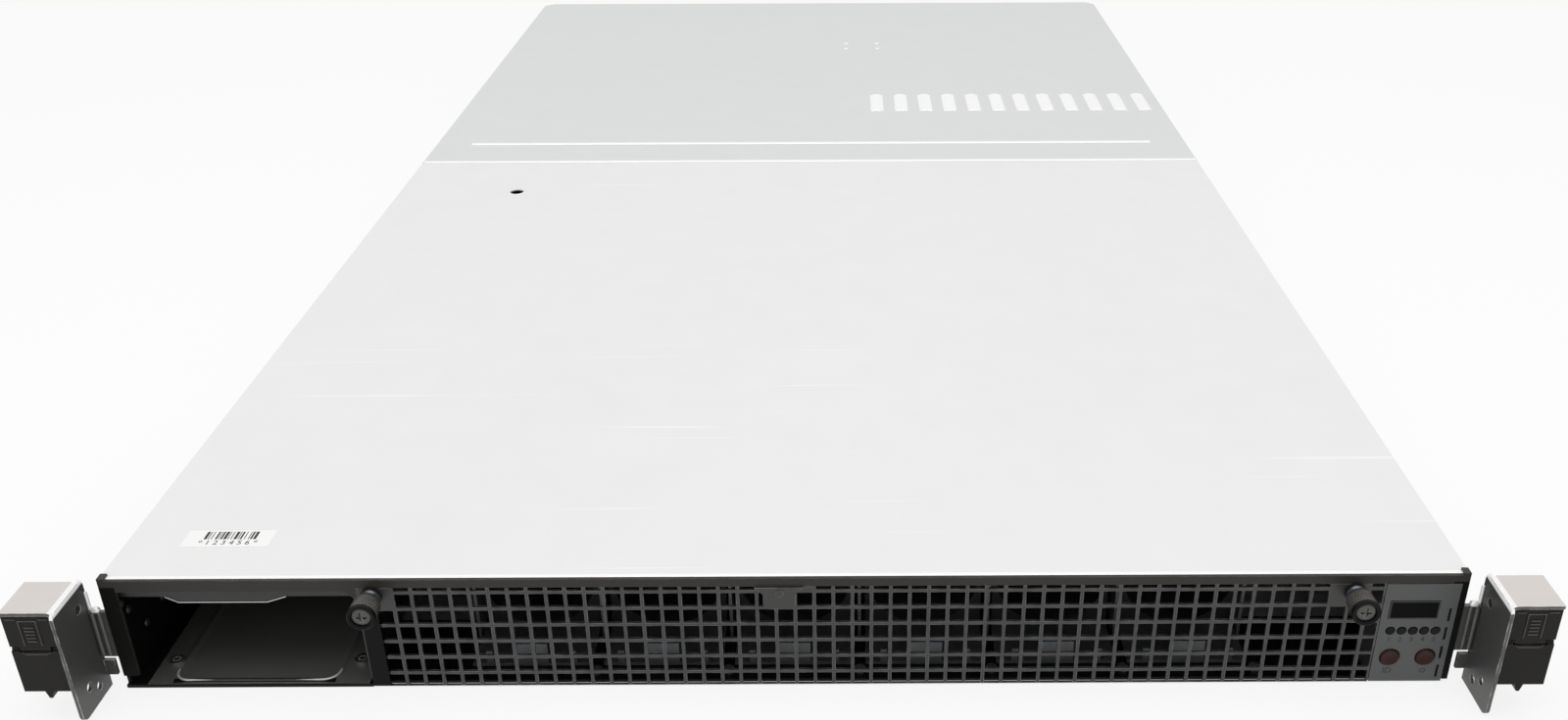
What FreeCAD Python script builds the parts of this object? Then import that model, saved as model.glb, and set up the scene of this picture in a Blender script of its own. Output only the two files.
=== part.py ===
"""Quick-release 1U rack server: a long sheet-metal chassis with two top covers, a mesh front held by
captive thumbscrews, an open drive bay, a control panel, latching rack ears, fans, boards and two power
supplies.  Millimetres; the front faces -Y, +X is to the right seen from the front, +Z is up."""
import FreeCAD, Part
import math
import os

# ---------------------------------------------------------------- driving dimensions
CHASSIS_W = 437.0        # body width, without the rack ears
CHASSIS_H = 43.0         # body height, to the top of the covers
CHASSIS_D = 777.0        # body depth, front face to rear fold of the cover
SHEET = 1.2              # floor and side walls
COVER_T = 1.0            # top cover sheet
FRONT_T = 1.2            # front frame sheet
GAP = 0.3                # seat gap between separate bodies
RUN = 0.05               # radial clearance of a shaft in its hole

FRONT_COVER_D = 395.6    # front cover, front to rear
SEAM_GAP = 0.6           # open line between the two covers
LAP_D = 8.0              # how far the rear cover tucks under the front one
LIP_H = 4.0              # inner side lips of the covers
LIP_T = 0.6
COVER_CORNER = 6.0       # clipped rear corners of the rear cover
FOLD_H = 4.0             # rear fold of the rear cover
COVER_TRAVEL = 12.0      # how far the rear cover slides back before it lifts off
HOLE_R = 3.5             # round hole in the front cover
HOLE_IN = 62.5           # hole centre from the left edge
HOLE_FROM_SEAM = 46.0
BEAD_FROM_SEAM = 33.0    # raised bead across the rear cover
BEAD_W = 3.0
BEAD_H = 0.6
BEAD_END = 20.5          # bead end from each side edge
LOUVRE_COUNT = 12
LOUVRE_W = 8.0
LOUVRE_L = 32.0
LOUVRE_PITCH = 15.2
LOUVRE_RISE = 1.1
LOUVRE_T = 0.6
LOUVRE_FROM_SEAM = 95.0  # front ends of the louvres
LOUVRE_FIRST_X = 36.0
DIMPLE_R = 1.6
DIMPLE_H = 0.5
DIMPLE_X = 21.0
DIMPLE_DX = 22.0
DIMPLE_FROM_SEAM = 241.0
DIMPLE_DY = 14.0

STRIP_H = 3.1            # top strip of the front frame
FLANGE_W = 5.0           # left front flange
FLANGE_LOW = 5.0         # the flange's lower end above the bottom
RIGHT_FLANGE_W = 2.0
CORNER_RISE = 0.8        # front corners stand proud of the covers
CORNER_T = 2.2
LEDGE_D = 14.0           # frame's ledge under the front cover

BAY_W = 76.5             # open drive bay, between flange and partition
BAY_DEPTH = 148.0
BAY_TOP_DROP = 4.4       # bay mouth top below the chassis top
BAY_CORNER_R = 6.0
BAY_SHEET = 1.0
BAY_VALANCE_H = 4.0      # valance hanging from the bay roof
BAY_VALANCE_IN = 3.0     # valance behind the front face
BAY_LIP_H = 2.0          # deeper middle stretch of the valance
BAY_LIP_FROM = 13.7      # lip start from the bay's left side
BAY_LIP_W = 39.0
BAY_LIP_SLOPE = 4.0
BACKPLANE_TOP = 30.0
BACKPLANE_PLUG_IN = 20.0    # drive plugs from the bay's left side
BACKPLANE_PLUG_W = 34.0
BACKPLANE_PLUG_Z = (8.5, 17.5)

GRILLE_T = 1.0
GRILLE_MARGIN = 5.6      # plain band at the grille's left end
GRILLE_PITCH_X = 6.13
GRILLE_PITCH_Z = 6.45
GRILLE_BAR = 1.1
GRILLE_TOP_NOTCH = 1.3    # height of the cut-through holes along the top edge
GRILLE_BASE = 0.3        # grille's lower edge above the bottom
GRILLE_RIM = 0.5          # narrow rim beside the control panel
TAB_W = 10.4             # plain tab over the top of the grille's middle
TAB_H = 8.4
TAB_X = -1.9
TAB_T = 0.7
TAB_FLARE = 2.6          # the tab widens towards its top
RIVET_R = 1.3

PANEL_W = 24.0           # control panel
PANEL_T = 1.6
PANEL_DEPTH = 12.0       # side walls behind the panel face
PANEL_WALL = 1.0
BADGE_W = 16.0
BADGE_H = 7.0
BADGE_T = 0.5
BADGE_Z = 29.5
LED_COUNT = 5
LED_R = 1.35
LED_PITCH = 3.68
LED_Z = 21.1
BUTTON_R = 3.1
BUTTON_Z = 10.4
BUTTON_DX = 11.7
BUTTON_PROUD = 0.7
BUTTON_TRAVEL = 0.8
PANEL_FEATURE_IN = 12.7  # middle of lamps and buttons from the panel's right edge
SLOT_W = 0.9
SLOT_COUNT = 4
SLOT_L = 5.2
SLOT_PITCH = 7.6
BOARD_T = 1.6            # printed circuit boards

SCREW_R = 1.45           # thumbscrew shank
SCREW_KNOB_R = 4.6
SCREW_KNOB_L = 8.0
SCREW_NECK_R = 3.3
SCREW_NECK_L = 2.7
SCREW_FACE_R = 3.5
SCREW_RECESS = 0.5
SCREW_TIP = 6.0
SCREW_TRAVEL = 3.5       # five turns of a 0.7 mm thread
SCREW_Z = 36.8
SCREW_RIGHT_IN = 9.7     # right screw from the grille's right end
WASHER_R = 3.5
WASHER_T = 1.0
KNURLS = 28

LATCH_BOX_W = 17.0       # ear plate to the ear's outer side
EAR_PLATE_T = 1.2
EAR_PLATE_GAP = 5.8      # chassis side to ear plate
EAR_REACH = 17.4         # ear plate in front of the front face
EAR_BACK = 2.0
EAR_BOX_REACH = 16.4
EAR_BEND_R = 2.6
EAR_NECK_LOW = 12.5
EAR_NECK_H = 18.0
EAR_STRAP_L = 46.0       # strap along the chassis side
EAR_HOLE_R = 1.6
LATCH_SPLIT = 30.0       # height of the joint between housing and lever
LATCH_LOW = 12.3
LATCH_WALL = 1.2
LATCH_FACE_T = 0.8
LATCH_SIDE_GAP = 0.5
TONGUE_IN = 3.0
TONGUE_DROP = 1.5
PIVOT_IN = 2.0           # latch pivot behind the lever's face
PIVOT_DROP = 1.8         # pivot below the split
KNUCKLE_R = 1.6
PIN_R = 0.6
TOOTH_W = 3.0
TOOTH_H = 3.0
LUG_W = 1.5

FAN_COUNT = 6
FAN_SIZE = 40.0
FAN_PITCH = 44.0
FAN_L = 56.0
FAN_FRONT = 30.0         # fan row behind the front face
FAN_FIRST_X = -86.0
FAN_BORE_R = 18.9
FAN_TIP_GAP = 0.7
FAN_HUB_R = 8.5
FAN_SHAFT_R = 1.5
FAN_BLADES = 7
FAN_ROTOR_L = 24.0
FAN_BACK_T = 3.0
FIN_T = 1.0              # bracket fins between fans
BRACKET_TAB_W = 11.0
BRACKET_TAB_H = 9.0
BRACKET_Y = 9.0

BOARD_W = 312.0          # main board
BOARD_D = 366.0
BOARD_LIFT = 5.3
BOARD_SIDE_GAP = 4.0
BOARD_REAR_GAP = 4.0
PLUG_IN = 4.0            # plugs from the board's front edge
PLUG_D = 8.0
PLUG_W = 26.0
PLUG_H = 9.0
PLUG_COUNT = 4
PLUG_PITCH = 34.0
HUB_SIZE = 30.0          # system chip under its own small heat sink
HUB_H = 8.0
HUB_FROM_BACK = 80.0
CPU_X = (-28.0, 140.0)
SINK_FROM_PLUGS = 38.0   # heat sinks behind the board's front plugs
SOCKET_SIZE = 60.0
SOCKET_H = 5.0
CHIP_SIZE = 45.0
CHIP_H = 3.0
SINK_SIZE = 90.0
SINK_BASE = 3.0
SINK_H = 22.0
SINK_FINS = 24
SINK_FIN_T = 0.6
DIMM_COUNT = 8
DIMM_PITCH = 8.6
DIMM_L = 134.0
DIMM_SLOT_W = 6.0
DIMM_SLOT_H = 7.0
DIMM_H = 27.0
DIMM_T = 1.3
STANDOFF_R = 3.0
PORT_H = 14.0
PORT_D = 18.0
PORT_WIDTHS = (16.0, 31.0, 33.0, 17.0)
PORT_STEP = 6.0

CARD_W = 111.0           # accelerator cards behind the fans
CARD_BACK_GAP = 32.0      # open floor between the cards and the main board
CARD_H = 37.0
CARD_FRONT = 106.0
CARD_X = (-74.0, 156.0)
SHROUD_T = 1.5

PSU_COUNT = 2
PSU_W = 54.0
PSU_H = 39.8
PSU_L = 322.0
PSU_GAP = 1.5
PSU_WALL = 0.8
PSU_HANDLE = 16.0        # bail behind the rear face
PSU_BORE_R = 18.0
PSU_LATCH_W = 6.0
PSU_LATCH_L = 13.0
PSU_BAIL_R = 1.4
INLET_W = 27.0
INLET_H = 20.0
INLET_BODY_L = 31.0      # inlet housing, front to rear
INLET_DEEP = 14.0        # open depth of the inlet
PSU_BLOCK_FROM = 30.0    # first block from the supply's front end
PSU_BLOCK_L = 36.0
PSU_BLOCK_PITCH = 62.0
REAR_T = 1.0
RAIL_HOLE_R = 2.1
RAIL_HOLE_Y = 120.0
RAIL_HOLE_SPACING = 500.0
LABEL_W = 29.0
LABEL_D = 9.5
LABEL_T = 0.12
LABEL_IN = 18.5
LABEL_FROM_FRONT = 19.0
RIBBON_T = 0.6
RIBBON_H = 14.0
RIBBON_LAP = 20.0        # how far the ribbon reaches over the main board

# ---------------------------------------------------------------- derived places
HALF_W = CHASSIS_W / 2
INNER_W = HALF_W - SHEET
TOP = CHASSIS_H
UNDER_COVER = TOP - COVER_T
SEAM_Y = FRONT_T + FRONT_COVER_D
REAR_COVER_Y = SEAM_Y + SEAM_GAP
REAR_FACE = CHASSIS_D - COVER_T
STRIP_LOW = TOP - STRIP_H
BAY_LEFT = -HALF_W + FLANGE_W
BAY_RIGHT = BAY_LEFT + BAY_W
PANEL_RIGHT = HALF_W - RIGHT_FLANGE_W - 0.1
PANEL_LEFT = PANEL_RIGHT - PANEL_W
GRILLE_LEFT = BAY_RIGHT + BAY_SHEET * 0.2
GRILLE_RIGHT = PANEL_LEFT - GAP
GRILLE_TOP = STRIP_LOW - 0.1
PANEL_H = STRIP_LOW - GAP
SCREW_X = (GRILLE_LEFT + GRILLE_MARGIN - 1.0, GRILLE_RIGHT - SCREW_RIGHT_IN)
PIVOT_Y = -EAR_BOX_REACH + 0.2 + PIVOT_IN
PIVOT_Z = LATCH_SPLIT - PIVOT_DROP
EAR_PLATE_X = HALF_W + EAR_PLATE_GAP
EAR_OUT_X = EAR_PLATE_X + LATCH_BOX_W
BOARD_Z = SHEET + BOARD_LIFT
BOARD_TOP = BOARD_Z + BOARD_T
BOARD_RIGHT = INNER_W - BOARD_SIDE_GAP
BOARD_LEFT = BOARD_RIGHT - BOARD_W
BOARD_BACK = REAR_FACE - REAR_T - BOARD_REAR_GAP
BOARD_FRONT = BOARD_BACK - BOARD_D
CARD_L = BOARD_FRONT - CARD_BACK_GAP - CARD_FRONT
CPU_Y = BOARD_FRONT + PLUG_IN + PLUG_D + SINK_FROM_PLUGS + SINK_SIZE / 2
PSU_BACK = REAR_FACE
PSU_FRONT = PSU_BACK - PSU_L
PSU_LOW = SHEET + GAP
PSU_LATCH_Z = PSU_LOW + 3.0
Y_MIDDLE = (CHASSIS_D - COVER_T + PSU_HANDLE - EAR_REACH) / 2

V = FreeCAD.Vector
X_AXIS = V(1, 0, 0)
Y_AXIS = V(0, 1, 0)
Z_AXIS = V(0, 0, 1)


# ---------------------------------------------------------------- helpers
def box(x0, x1, y0, y1, z0, z1):
    """Block between two corners."""
    return Part.makeBox(x1 - x0, y1 - y0, z1 - z0, V(x0, y0, z0))


def side_box(side, x0, x1, y0, y1, z0, z1):
    """Block on one side of the chassis: x0 and x1 are distances from the middle plane."""
    low, high = sorted((side * x0, side * x1))
    return box(low, high, y0, y1, z0, z1)


def rod(radius, length, x, y, z, axis=Y_AXIS):
    return Part.makeCylinder(radius, length, V(x, y, z), axis)


def join(shapes):
    """One solid made of touching or crossing pieces."""
    first, rest = shapes[0], shapes[1:]
    return first.fuse(rest).removeSplitter() if rest else first


def group(shapes):
    """Separate solids kept in one node."""
    return Part.makeCompound(shapes)


def polygon(points):
    """Flat face from a closed outline of points."""
    corners = [V(*p) for p in points]
    return Part.Face(Part.makePolygon(corners + corners[:1]))


def rectangle(x0, x1, z0, z1, y):
    corners = [V(x0, y, z0), V(x1, y, z0), V(x1, y, z1), V(x0, y, z1)]
    return Part.makePolygon(corners + corners[:1])


def pierced(outer, holes, push):
    """Sheet with many holes: one face with inner outlines, pushed to its thickness."""
    face = Part.makeFace(Part.makeCompound([outer] + holes), "Part::FaceMakerBullseye")
    return face.extrude(push)


def save(name, shape):
    """Write one node, moved so that the origin lies under the middle of the whole object."""
    shape = shape.copy()
    shape.translate(V(0, -Y_MIDDLE, 0))
    shape.exportStep("parts/%s.step" % name)


# ---------------------------------------------------------------- chassis and covers
def rail_holes(side):
    """Two holes in a side wall for the slide rail's screws."""
    places = (RAIL_HOLE_Y, RAIL_HOLE_Y + RAIL_HOLE_SPACING)
    start = side * (INNER_W - 1)
    return [rod(RAIL_HOLE_R, SHEET + 3, start, y, CHASSIS_H / 2, X_AXIS * side) for y in places]


def chassis_tray():
    """Folded floor and side walls, with a raised ridge along the bay's floor."""
    back = REAR_FACE
    floor = box(-HALF_W, HALF_W, 0, back, 0, SHEET)
    walls = [side_box(s, INNER_W, HALF_W, FRONT_T, back, 0, UNDER_COVER) for s in (-1, 1)]
    ridge = box(BAY_LEFT + 10, BAY_RIGHT - 13, 0.8, 2.6, SHEET, SHEET + 0.5)
    tray = join([floor, ridge] + walls)
    front_relief = box(GRILLE_LEFT - 0.2, HALF_W + 1, -1, PANEL_T + 0.1, -1, SHEET + 1)
    corner_relief = box(-HALF_W - 1, BAY_LEFT, -1, FRONT_T + 0.1, SHEET, FLANGE_LOW)
    return tray.cut([front_relief, corner_relief] + rail_holes(-1) + rail_holes(1))


def psu_mouth_right():
    """Right end of the rear panel's power supply mouth."""
    return psu_left(PSU_COUNT - 1) + PSU_W + 0.5


def rear_panel():
    """Rear wall with the power supply mouth, port windows and vent holes."""
    y = REAR_FACE - REAR_T
    outer = rectangle(-INNER_W, INNER_W, SHEET, UNDER_COVER, y)
    holes = [rectangle(-INNER_W + 0.5, psu_mouth_right(), SHEET + 0.1, UNDER_COVER - 0.3, y)]
    for x0, x1 in port_spans():
        holes.append(rectangle(x0 - GAP, x1 + GAP, BOARD_TOP - GAP, BOARD_TOP + PORT_H + GAP, y))
    first = max(x1 for x0, x1 in port_spans()) + 12
    columns = int((INNER_W - 8 - first) / 6.0)
    for column in range(columns):
        for row in range(5):
            centre = V(first + 6.0 * column, y, SHEET + 8 + 6.0 * row)
            holes.append(Part.Wire(Part.Circle(centre, Y_AXIS, 2.0).toShape()))
    return pierced(outer, holes, V(0, REAR_T, 0))


def cover_lips(y0, y1):
    """Side lips that drop just inside the chassis walls."""
    out = INNER_W - GAP
    return [side_box(s, out - LIP_T, out, y0, y1, UNDER_COVER - LIP_H, UNDER_COVER + 0.1) for s in (-1, 1)]


def front_top_cover():
    plate = box(-HALF_W, HALF_W, FRONT_T, SEAM_Y, UNDER_COVER, TOP)
    hole = rod(HOLE_R, COVER_T * 3, -HALF_W + HOLE_IN, SEAM_Y - HOLE_FROM_SEAM, UNDER_COVER - 1, Z_AXIS)
    lips = cover_lips(FRONT_T + 20, SEAM_Y - LAP_D - 10)
    return join([plate] + lips).cut(hole)


def arch_strip(x, y0, length):
    """Curved louvre blade over one slot: an arc of sheet, open along its left edge."""
    rise, half = LOUVRE_RISE, LOUVRE_W / 2
    radius = (half * half + rise * rise) / (2 * rise)
    centre = V(x + half, 0, TOP + rise - radius)
    outer = Part.makeCylinder(radius, length, centre + V(0, y0, 0), Y_AXIS)
    inner = Part.makeCylinder(radius - LOUVRE_T, length, centre + V(0, y0, 0), Y_AXIS)
    shell = outer.cut(inner)
    return shell.common(box(x, x + LOUVRE_W, y0, y0 + length, TOP - LOUVRE_T, TOP + rise + 1))


def louvre_places():
    return [LOUVRE_FIRST_X + LOUVRE_PITCH * i for i in range(LOUVRE_COUNT)]


def rear_top_cover():
    """Rear cover with its tucked front edge, bead, louvres, dimples, side lips and rear fold."""
    y0, y1 = REAR_COVER_Y, CHASSIS_D
    w, c = HALF_W, COVER_CORNER
    outline = [(-w, y0), (w, y0), (w, y1 - c), (w - c, y1), (-w + c, y1), (-w, y1 - c)]
    plate = polygon([(x, y, UNDER_COVER) for x, y in outline]).extrude(V(0, 0, COVER_T))
    fold = box(psu_mouth_right() + 1, w - c, REAR_FACE, y1, UNDER_COVER - FOLD_H, UNDER_COVER + 0.1)
    tuck_w = INNER_W - 2
    tuck = box(-tuck_w, tuck_w, SEAM_Y - LAP_D, y0 + 6, UNDER_COVER - COVER_T, UNDER_COVER)
    louvre_y = SEAM_Y + LOUVRE_FROM_SEAM
    slots = [box(x, x + LOUVRE_W - 0.8, louvre_y, louvre_y + LOUVRE_L, UNDER_COVER - 1, TOP + 1)
             for x in louvre_places()]
    blades = [arch_strip(x, louvre_y, LOUVRE_L) for x in louvre_places()]
    ends = [box(x + 0.6, x + LOUVRE_W, y, y + 0.6, UNDER_COVER, TOP + 0.3)
            for x in louvre_places() for y in (louvre_y, louvre_y + LOUVRE_L - 0.6)]
    bead = half_round(-w + BEAD_END, w - BEAD_END, SEAM_Y + BEAD_FROM_SEAM)
    dimples = [rod(DIMPLE_R, DIMPLE_H + 0.1, DIMPLE_X + i * DIMPLE_DX, SEAM_Y + DIMPLE_FROM_SEAM + j * DIMPLE_DY,
                   TOP - 0.1, Z_AXIS) for i in (0, 1) for j in (0, 1)]
    lips = cover_lips(y0 + 10, REAR_FACE - REAR_T - COVER_TRAVEL - 2)
    body = join([plate, fold, tuck, bead] + lips + dimples).cut(slots)
    return body.fuse(blades + ends)


def half_round(x0, x1, y):
    """Low rounded rib across the cover."""
    rise, half = BEAD_H, BEAD_W / 2
    radius = (half * half + rise * rise) / (2 * rise)
    roll = Part.makeCylinder(radius, x1 - x0, V(x0, y, TOP + rise - radius), X_AXIS)
    return roll.common(box(x0, x1, y - half, y + half, TOP - 0.2, TOP + rise + 1))


def barcode_label():
    x0 = -HALF_W + LABEL_IN
    return box(x0, x0 + LABEL_W, LABEL_FROM_FRONT, LABEL_FROM_FRONT + LABEL_D, TOP, TOP + LABEL_T)


# ---------------------------------------------------------------- front
def screw_boss(x):
    """Tapped tab of the frame behind the grille, under one thumbscrew."""
    y0 = GRILLE_T + GAP
    tab = box(x - 4.5, x + 4.5, y0, y0 + 2.0, SCREW_Z - 4.5, UNDER_COVER)
    return tab, rod(SCREW_R + RUN, 8, x, y0 - 1, SCREW_Z)


def front_frame():
    """Black front frame: top strip, side flanges, proud corners, bay mouth and screw tabs."""
    strip = box(-HALF_W, HALF_W, 0, FRONT_T, STRIP_LOW, TOP)
    ledge = box(-HALF_W + 2, HALF_W - 2, FRONT_T - 0.1, LEDGE_D, UNDER_COVER - COVER_T, UNDER_COVER)
    left = box(-HALF_W, BAY_LEFT, 0, FRONT_T, FLANGE_LOW, TOP)
    right = box(HALF_W - RIGHT_FLANGE_W, HALF_W, 0, FRONT_T, SHEET, TOP)
    mouth_top = TOP - BAY_TOP_DROP
    lintel = box(BAY_LEFT, BAY_RIGHT, 0, FRONT_T, mouth_top, STRIP_LOW)
    corner = box(BAY_RIGHT - BAY_CORNER_R, BAY_RIGHT, 0, FRONT_T, mouth_top - BAY_CORNER_R, mouth_top)
    curve = rod(BAY_CORNER_R, 4, BAY_RIGHT - BAY_CORNER_R, -1, mouth_top - BAY_CORNER_R)
    corners = [side_box(s, HALF_W - CORNER_T, HALF_W, 0, FRONT_T + 2, TOP, TOP + CORNER_RISE) for s in (-1, 1)]
    corner_roots = [side_box(s, HALF_W - CORNER_T, HALF_W, 0, FRONT_T, TOP - 1, TOP + 0.1) for s in (-1, 1)]
    tabs, holes = zip(*[screw_boss(x) for x in SCREW_X])
    pieces = [strip, ledge, left, right, lintel, corner.cut(curve)] + corners + corner_roots + list(tabs)
    return join(pieces).cut(list(holes))


def grille_columns():
    """Left and right ends of each column of holes; the last one is cut short by the rim."""
    columns = []
    x0, last = GRILLE_LEFT + GRILLE_MARGIN, GRILLE_RIGHT - GRILLE_RIM
    while x0 < last - GRILLE_PITCH_X / 3:
        columns.append((x0, min(x0 + GRILLE_PITCH_X - GRILLE_BAR, last)))
        x0 += GRILLE_PITCH_X
    return columns


def grille_holes():
    """Square holes between the plain band and the control panel, clear of both thumbscrews."""
    low = GRILLE_BASE + 0.2
    z = GRILLE_TOP - GRILLE_TOP_NOTCH - GRILLE_BAR
    rows = []
    while z > low + 1.5:
        rows.append((max(z - (GRILLE_PITCH_Z - GRILLE_BAR), low), z))
        z -= GRILLE_PITCH_Z
    holes = []
    for x0, x1 in grille_columns():
        for z0, z1 in rows:
            in_pad = abs((x0 + x1) / 2 - SCREW_X[1]) < GRILLE_PITCH_X and abs(z0 + 2.5 - SCREW_Z) < 4
            near_screw = abs(x0 - SCREW_X[0]) < 6 and abs(z0 + 2.5 - SCREW_Z) < 4
            if not (in_pad or near_screw):
                holes.append(rectangle(x0, x1, z0, z1, 0))
    return holes


def grille_outline():
    """Outline of the grille sheet: its top edge runs through a row of holes, clear of the screws and the tab."""
    low = GRILLE_TOP - GRILLE_TOP_NOTCH
    points = [(GRILLE_LEFT, GRILLE_BASE), (GRILLE_LEFT, GRILLE_TOP)]
    plain = [(x, WASHER_R + 1.5) for x in SCREW_X] + [(TAB_X, TAB_W / 2 + TAB_FLARE)]
    for x0, x1 in grille_columns():
        if all(x1 < x - r or x0 > x + r for x, r in plain):
            points += [(x0, GRILLE_TOP), (x0, low), (x1, low), (x1, GRILLE_TOP)]
    return points + [(GRILLE_RIGHT, GRILLE_TOP), (GRILLE_RIGHT, GRILLE_BASE)]


def front_grille():
    """Removable mesh front with a rivet in its middle tab."""
    outline = [V(x, 0, z) for x, z in grille_outline()]
    outer = Part.makePolygon(outline + outline[:1])
    circles = [Part.Wire(Part.Circle(V(x, 0, SCREW_Z), Y_AXIS, SCREW_R + GAP).toShape()) for x in SCREW_X]
    sheet = pierced(outer, grille_holes() + circles, V(0, GRILLE_T, 0))
    half, low = TAB_W / 2, GRILLE_TOP - TAB_H
    outline = [(-half - TAB_FLARE, GRILLE_TOP), (-half, GRILLE_TOP - TAB_FLARE), (-half, low + 1.5), (-half + 1.5, low),
               (half - 1.0, low), (half, low + 1.0), (half, GRILLE_TOP - TAB_FLARE), (half + TAB_FLARE, GRILLE_TOP)]
    tab = polygon([(TAB_X + x, -TAB_T, z) for x, z in outline]).extrude(V(0, TAB_T + 0.1, 0))
    rivet = rod(RIVET_R, TAB_T, TAB_X, -TAB_T - 0.3, GRILLE_TOP - 2.2)
    return sheet.fuse([tab, rivet])


def thumbscrew(x):
    """Knurled knob, thinner neck and threaded shank, with a recessed cross in the end face."""
    neck_end = -WASHER_T - 0.1
    knob_back = neck_end - SCREW_NECK_L
    knob_front = knob_back - SCREW_KNOB_L
    knob = rod(SCREW_KNOB_R, SCREW_KNOB_L, x, knob_front, SCREW_Z)
    knob = knob.makeChamfer(0.4, [e for e in knob.Edges if len(e.Vertexes) == 1])
    neck = rod(SCREW_NECK_R, SCREW_NECK_L + 0.1, x, knob_back - 0.1, SCREW_Z)
    shank = rod(SCREW_R, SCREW_TIP - neck_end + 0.1, x, neck_end - 0.1, SCREW_Z)
    grooves = []
    for i in range(KNURLS):
        angle = 2 * math.pi * i / KNURLS
        gx, gz = x + SCREW_KNOB_R * math.cos(angle), SCREW_Z + SCREW_KNOB_R * math.sin(angle)
        grooves.append(rod(0.22, SCREW_KNOB_L, gx, knob_front - 0.1, gz))
    recess = rod(SCREW_FACE_R, SCREW_RECESS, x, knob_front, SCREW_Z)
    deep = knob_front + SCREW_RECESS
    cross = [box(x - 1.8, x + 1.8, deep - 0.1, deep + 1.2, SCREW_Z - 0.35, SCREW_Z + 0.35),
             box(x - 0.35, x + 0.35, deep - 0.1, deep + 1.2, SCREW_Z - 1.8, SCREW_Z + 1.8)]
    return join([knob, neck, shank]).cut(grooves + [recess] + cross)


def screw_washer(x):
    ring = rod(WASHER_R, WASHER_T, x, -WASHER_T - 0.05, SCREW_Z)
    return ring.cut(rod(SCREW_R + RUN, WASHER_T + 2, x, -WASHER_T - 1, SCREW_Z))


def panel_middle():
    return PANEL_RIGHT - PANEL_FEATURE_IN


def led_places():
    first = panel_middle() - LED_PITCH * (LED_COUNT - 1) / 2
    return [first + LED_PITCH * i for i in range(LED_COUNT)]


def button_places():
    """Left button calls the locator lamp, right button is the power button."""
    return panel_middle() - BUTTON_DX / 2, panel_middle() + BUTTON_DX / 2


def control_panel():
    """Moulded panel with a badge recess, lamp and button holes and a row of side slots."""
    low = 0.4
    face = box(PANEL_LEFT, PANEL_RIGHT, 0, PANEL_T, low, PANEL_H)
    walls = [box(PANEL_LEFT, PANEL_LEFT + PANEL_WALL, PANEL_T - 0.1, PANEL_DEPTH, SHEET + 0.1, PANEL_H - 1),
             box(PANEL_RIGHT - PANEL_WALL, PANEL_RIGHT, PANEL_T - 0.1, PANEL_DEPTH, SHEET + 0.1, PANEL_H - 1)]
    badge_x = panel_middle() - BADGE_W / 2 - 1.0
    badge = box(badge_x - 0.1, badge_x + BADGE_W + 0.1, -1, BADGE_T - 0.1,
                BADGE_Z - BADGE_H / 2 - 0.1, BADGE_Z + BADGE_H / 2 + 0.1)
    cuts = [badge]
    cuts += [rod(LED_R + GAP, PANEL_T + 2, x, -1, LED_Z) for x in led_places()]
    cuts += [rod(BUTTON_R + GAP, PANEL_T + 2, x, -1, BUTTON_Z) for x in button_places()]
    slot_x = PANEL_RIGHT - 2.4
    for i in range(SLOT_COUNT):
        z = 2.0 + SLOT_PITCH * i
        cuts.append(box(slot_x, slot_x + SLOT_W, -1, PANEL_T + 1, z, z + SLOT_L))
    return join([face] + walls).cut(cuts)


def badge_plate():
    x0 = panel_middle() - BADGE_W / 2 - 1.0
    return box(x0, x0 + BADGE_W, -0.1, BADGE_T - 0.1, BADGE_Z - BADGE_H / 2, BADGE_Z + BADGE_H / 2)


BOARD_FRONT_Y = PANEL_DEPTH - BOARD_T - 0.4      # control board, clear of the panel's rear edge


def control_board():
    """Small board with two push switches, held between the panel's side walls."""
    x0, x1 = PANEL_LEFT + PANEL_WALL, PANEL_RIGHT - PANEL_WALL
    board = box(x0, x1, BOARD_FRONT_Y, BOARD_FRONT_Y + BOARD_T, SHEET + 1, PANEL_H - 3)
    switches = [box(x - 3, x + 3, BOARD_FRONT_Y - 2, BOARD_FRONT_Y + 0.1, BUTTON_Z - 3, BUTTON_Z + 3)
                for x in button_places()]
    header = box(x0 + 8, x1 - 2, BOARD_FRONT_Y + BOARD_T - 0.1, BOARD_FRONT_Y + BOARD_T + 5, 8, 24)
    return join([board, header] + switches)


def status_leds():
    """Row of light pipes from the board to the panel face."""
    return group([rod(LED_R, BOARD_FRONT_Y + 0.1, x, -0.1, LED_Z) for x in led_places()])


def button(x):
    """Push cap with a thin stem that ends just ahead of its switch."""
    cap = rod(BUTTON_R, PANEL_T + BUTTON_PROUD + 1.0, x, -BUTTON_PROUD, BUTTON_Z)
    cap = cap.makeChamfer(0.35, [min(cap.Edges, key=lambda e: e.CenterOfMass.y)])
    stem_end = BOARD_FRONT_Y - 2 - BUTTON_TRAVEL - 0.05
    stem = rod(1.2, stem_end - PANEL_T - 0.5, x, PANEL_T + 0.5, BUTTON_Z)
    return join([cap, stem])


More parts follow.
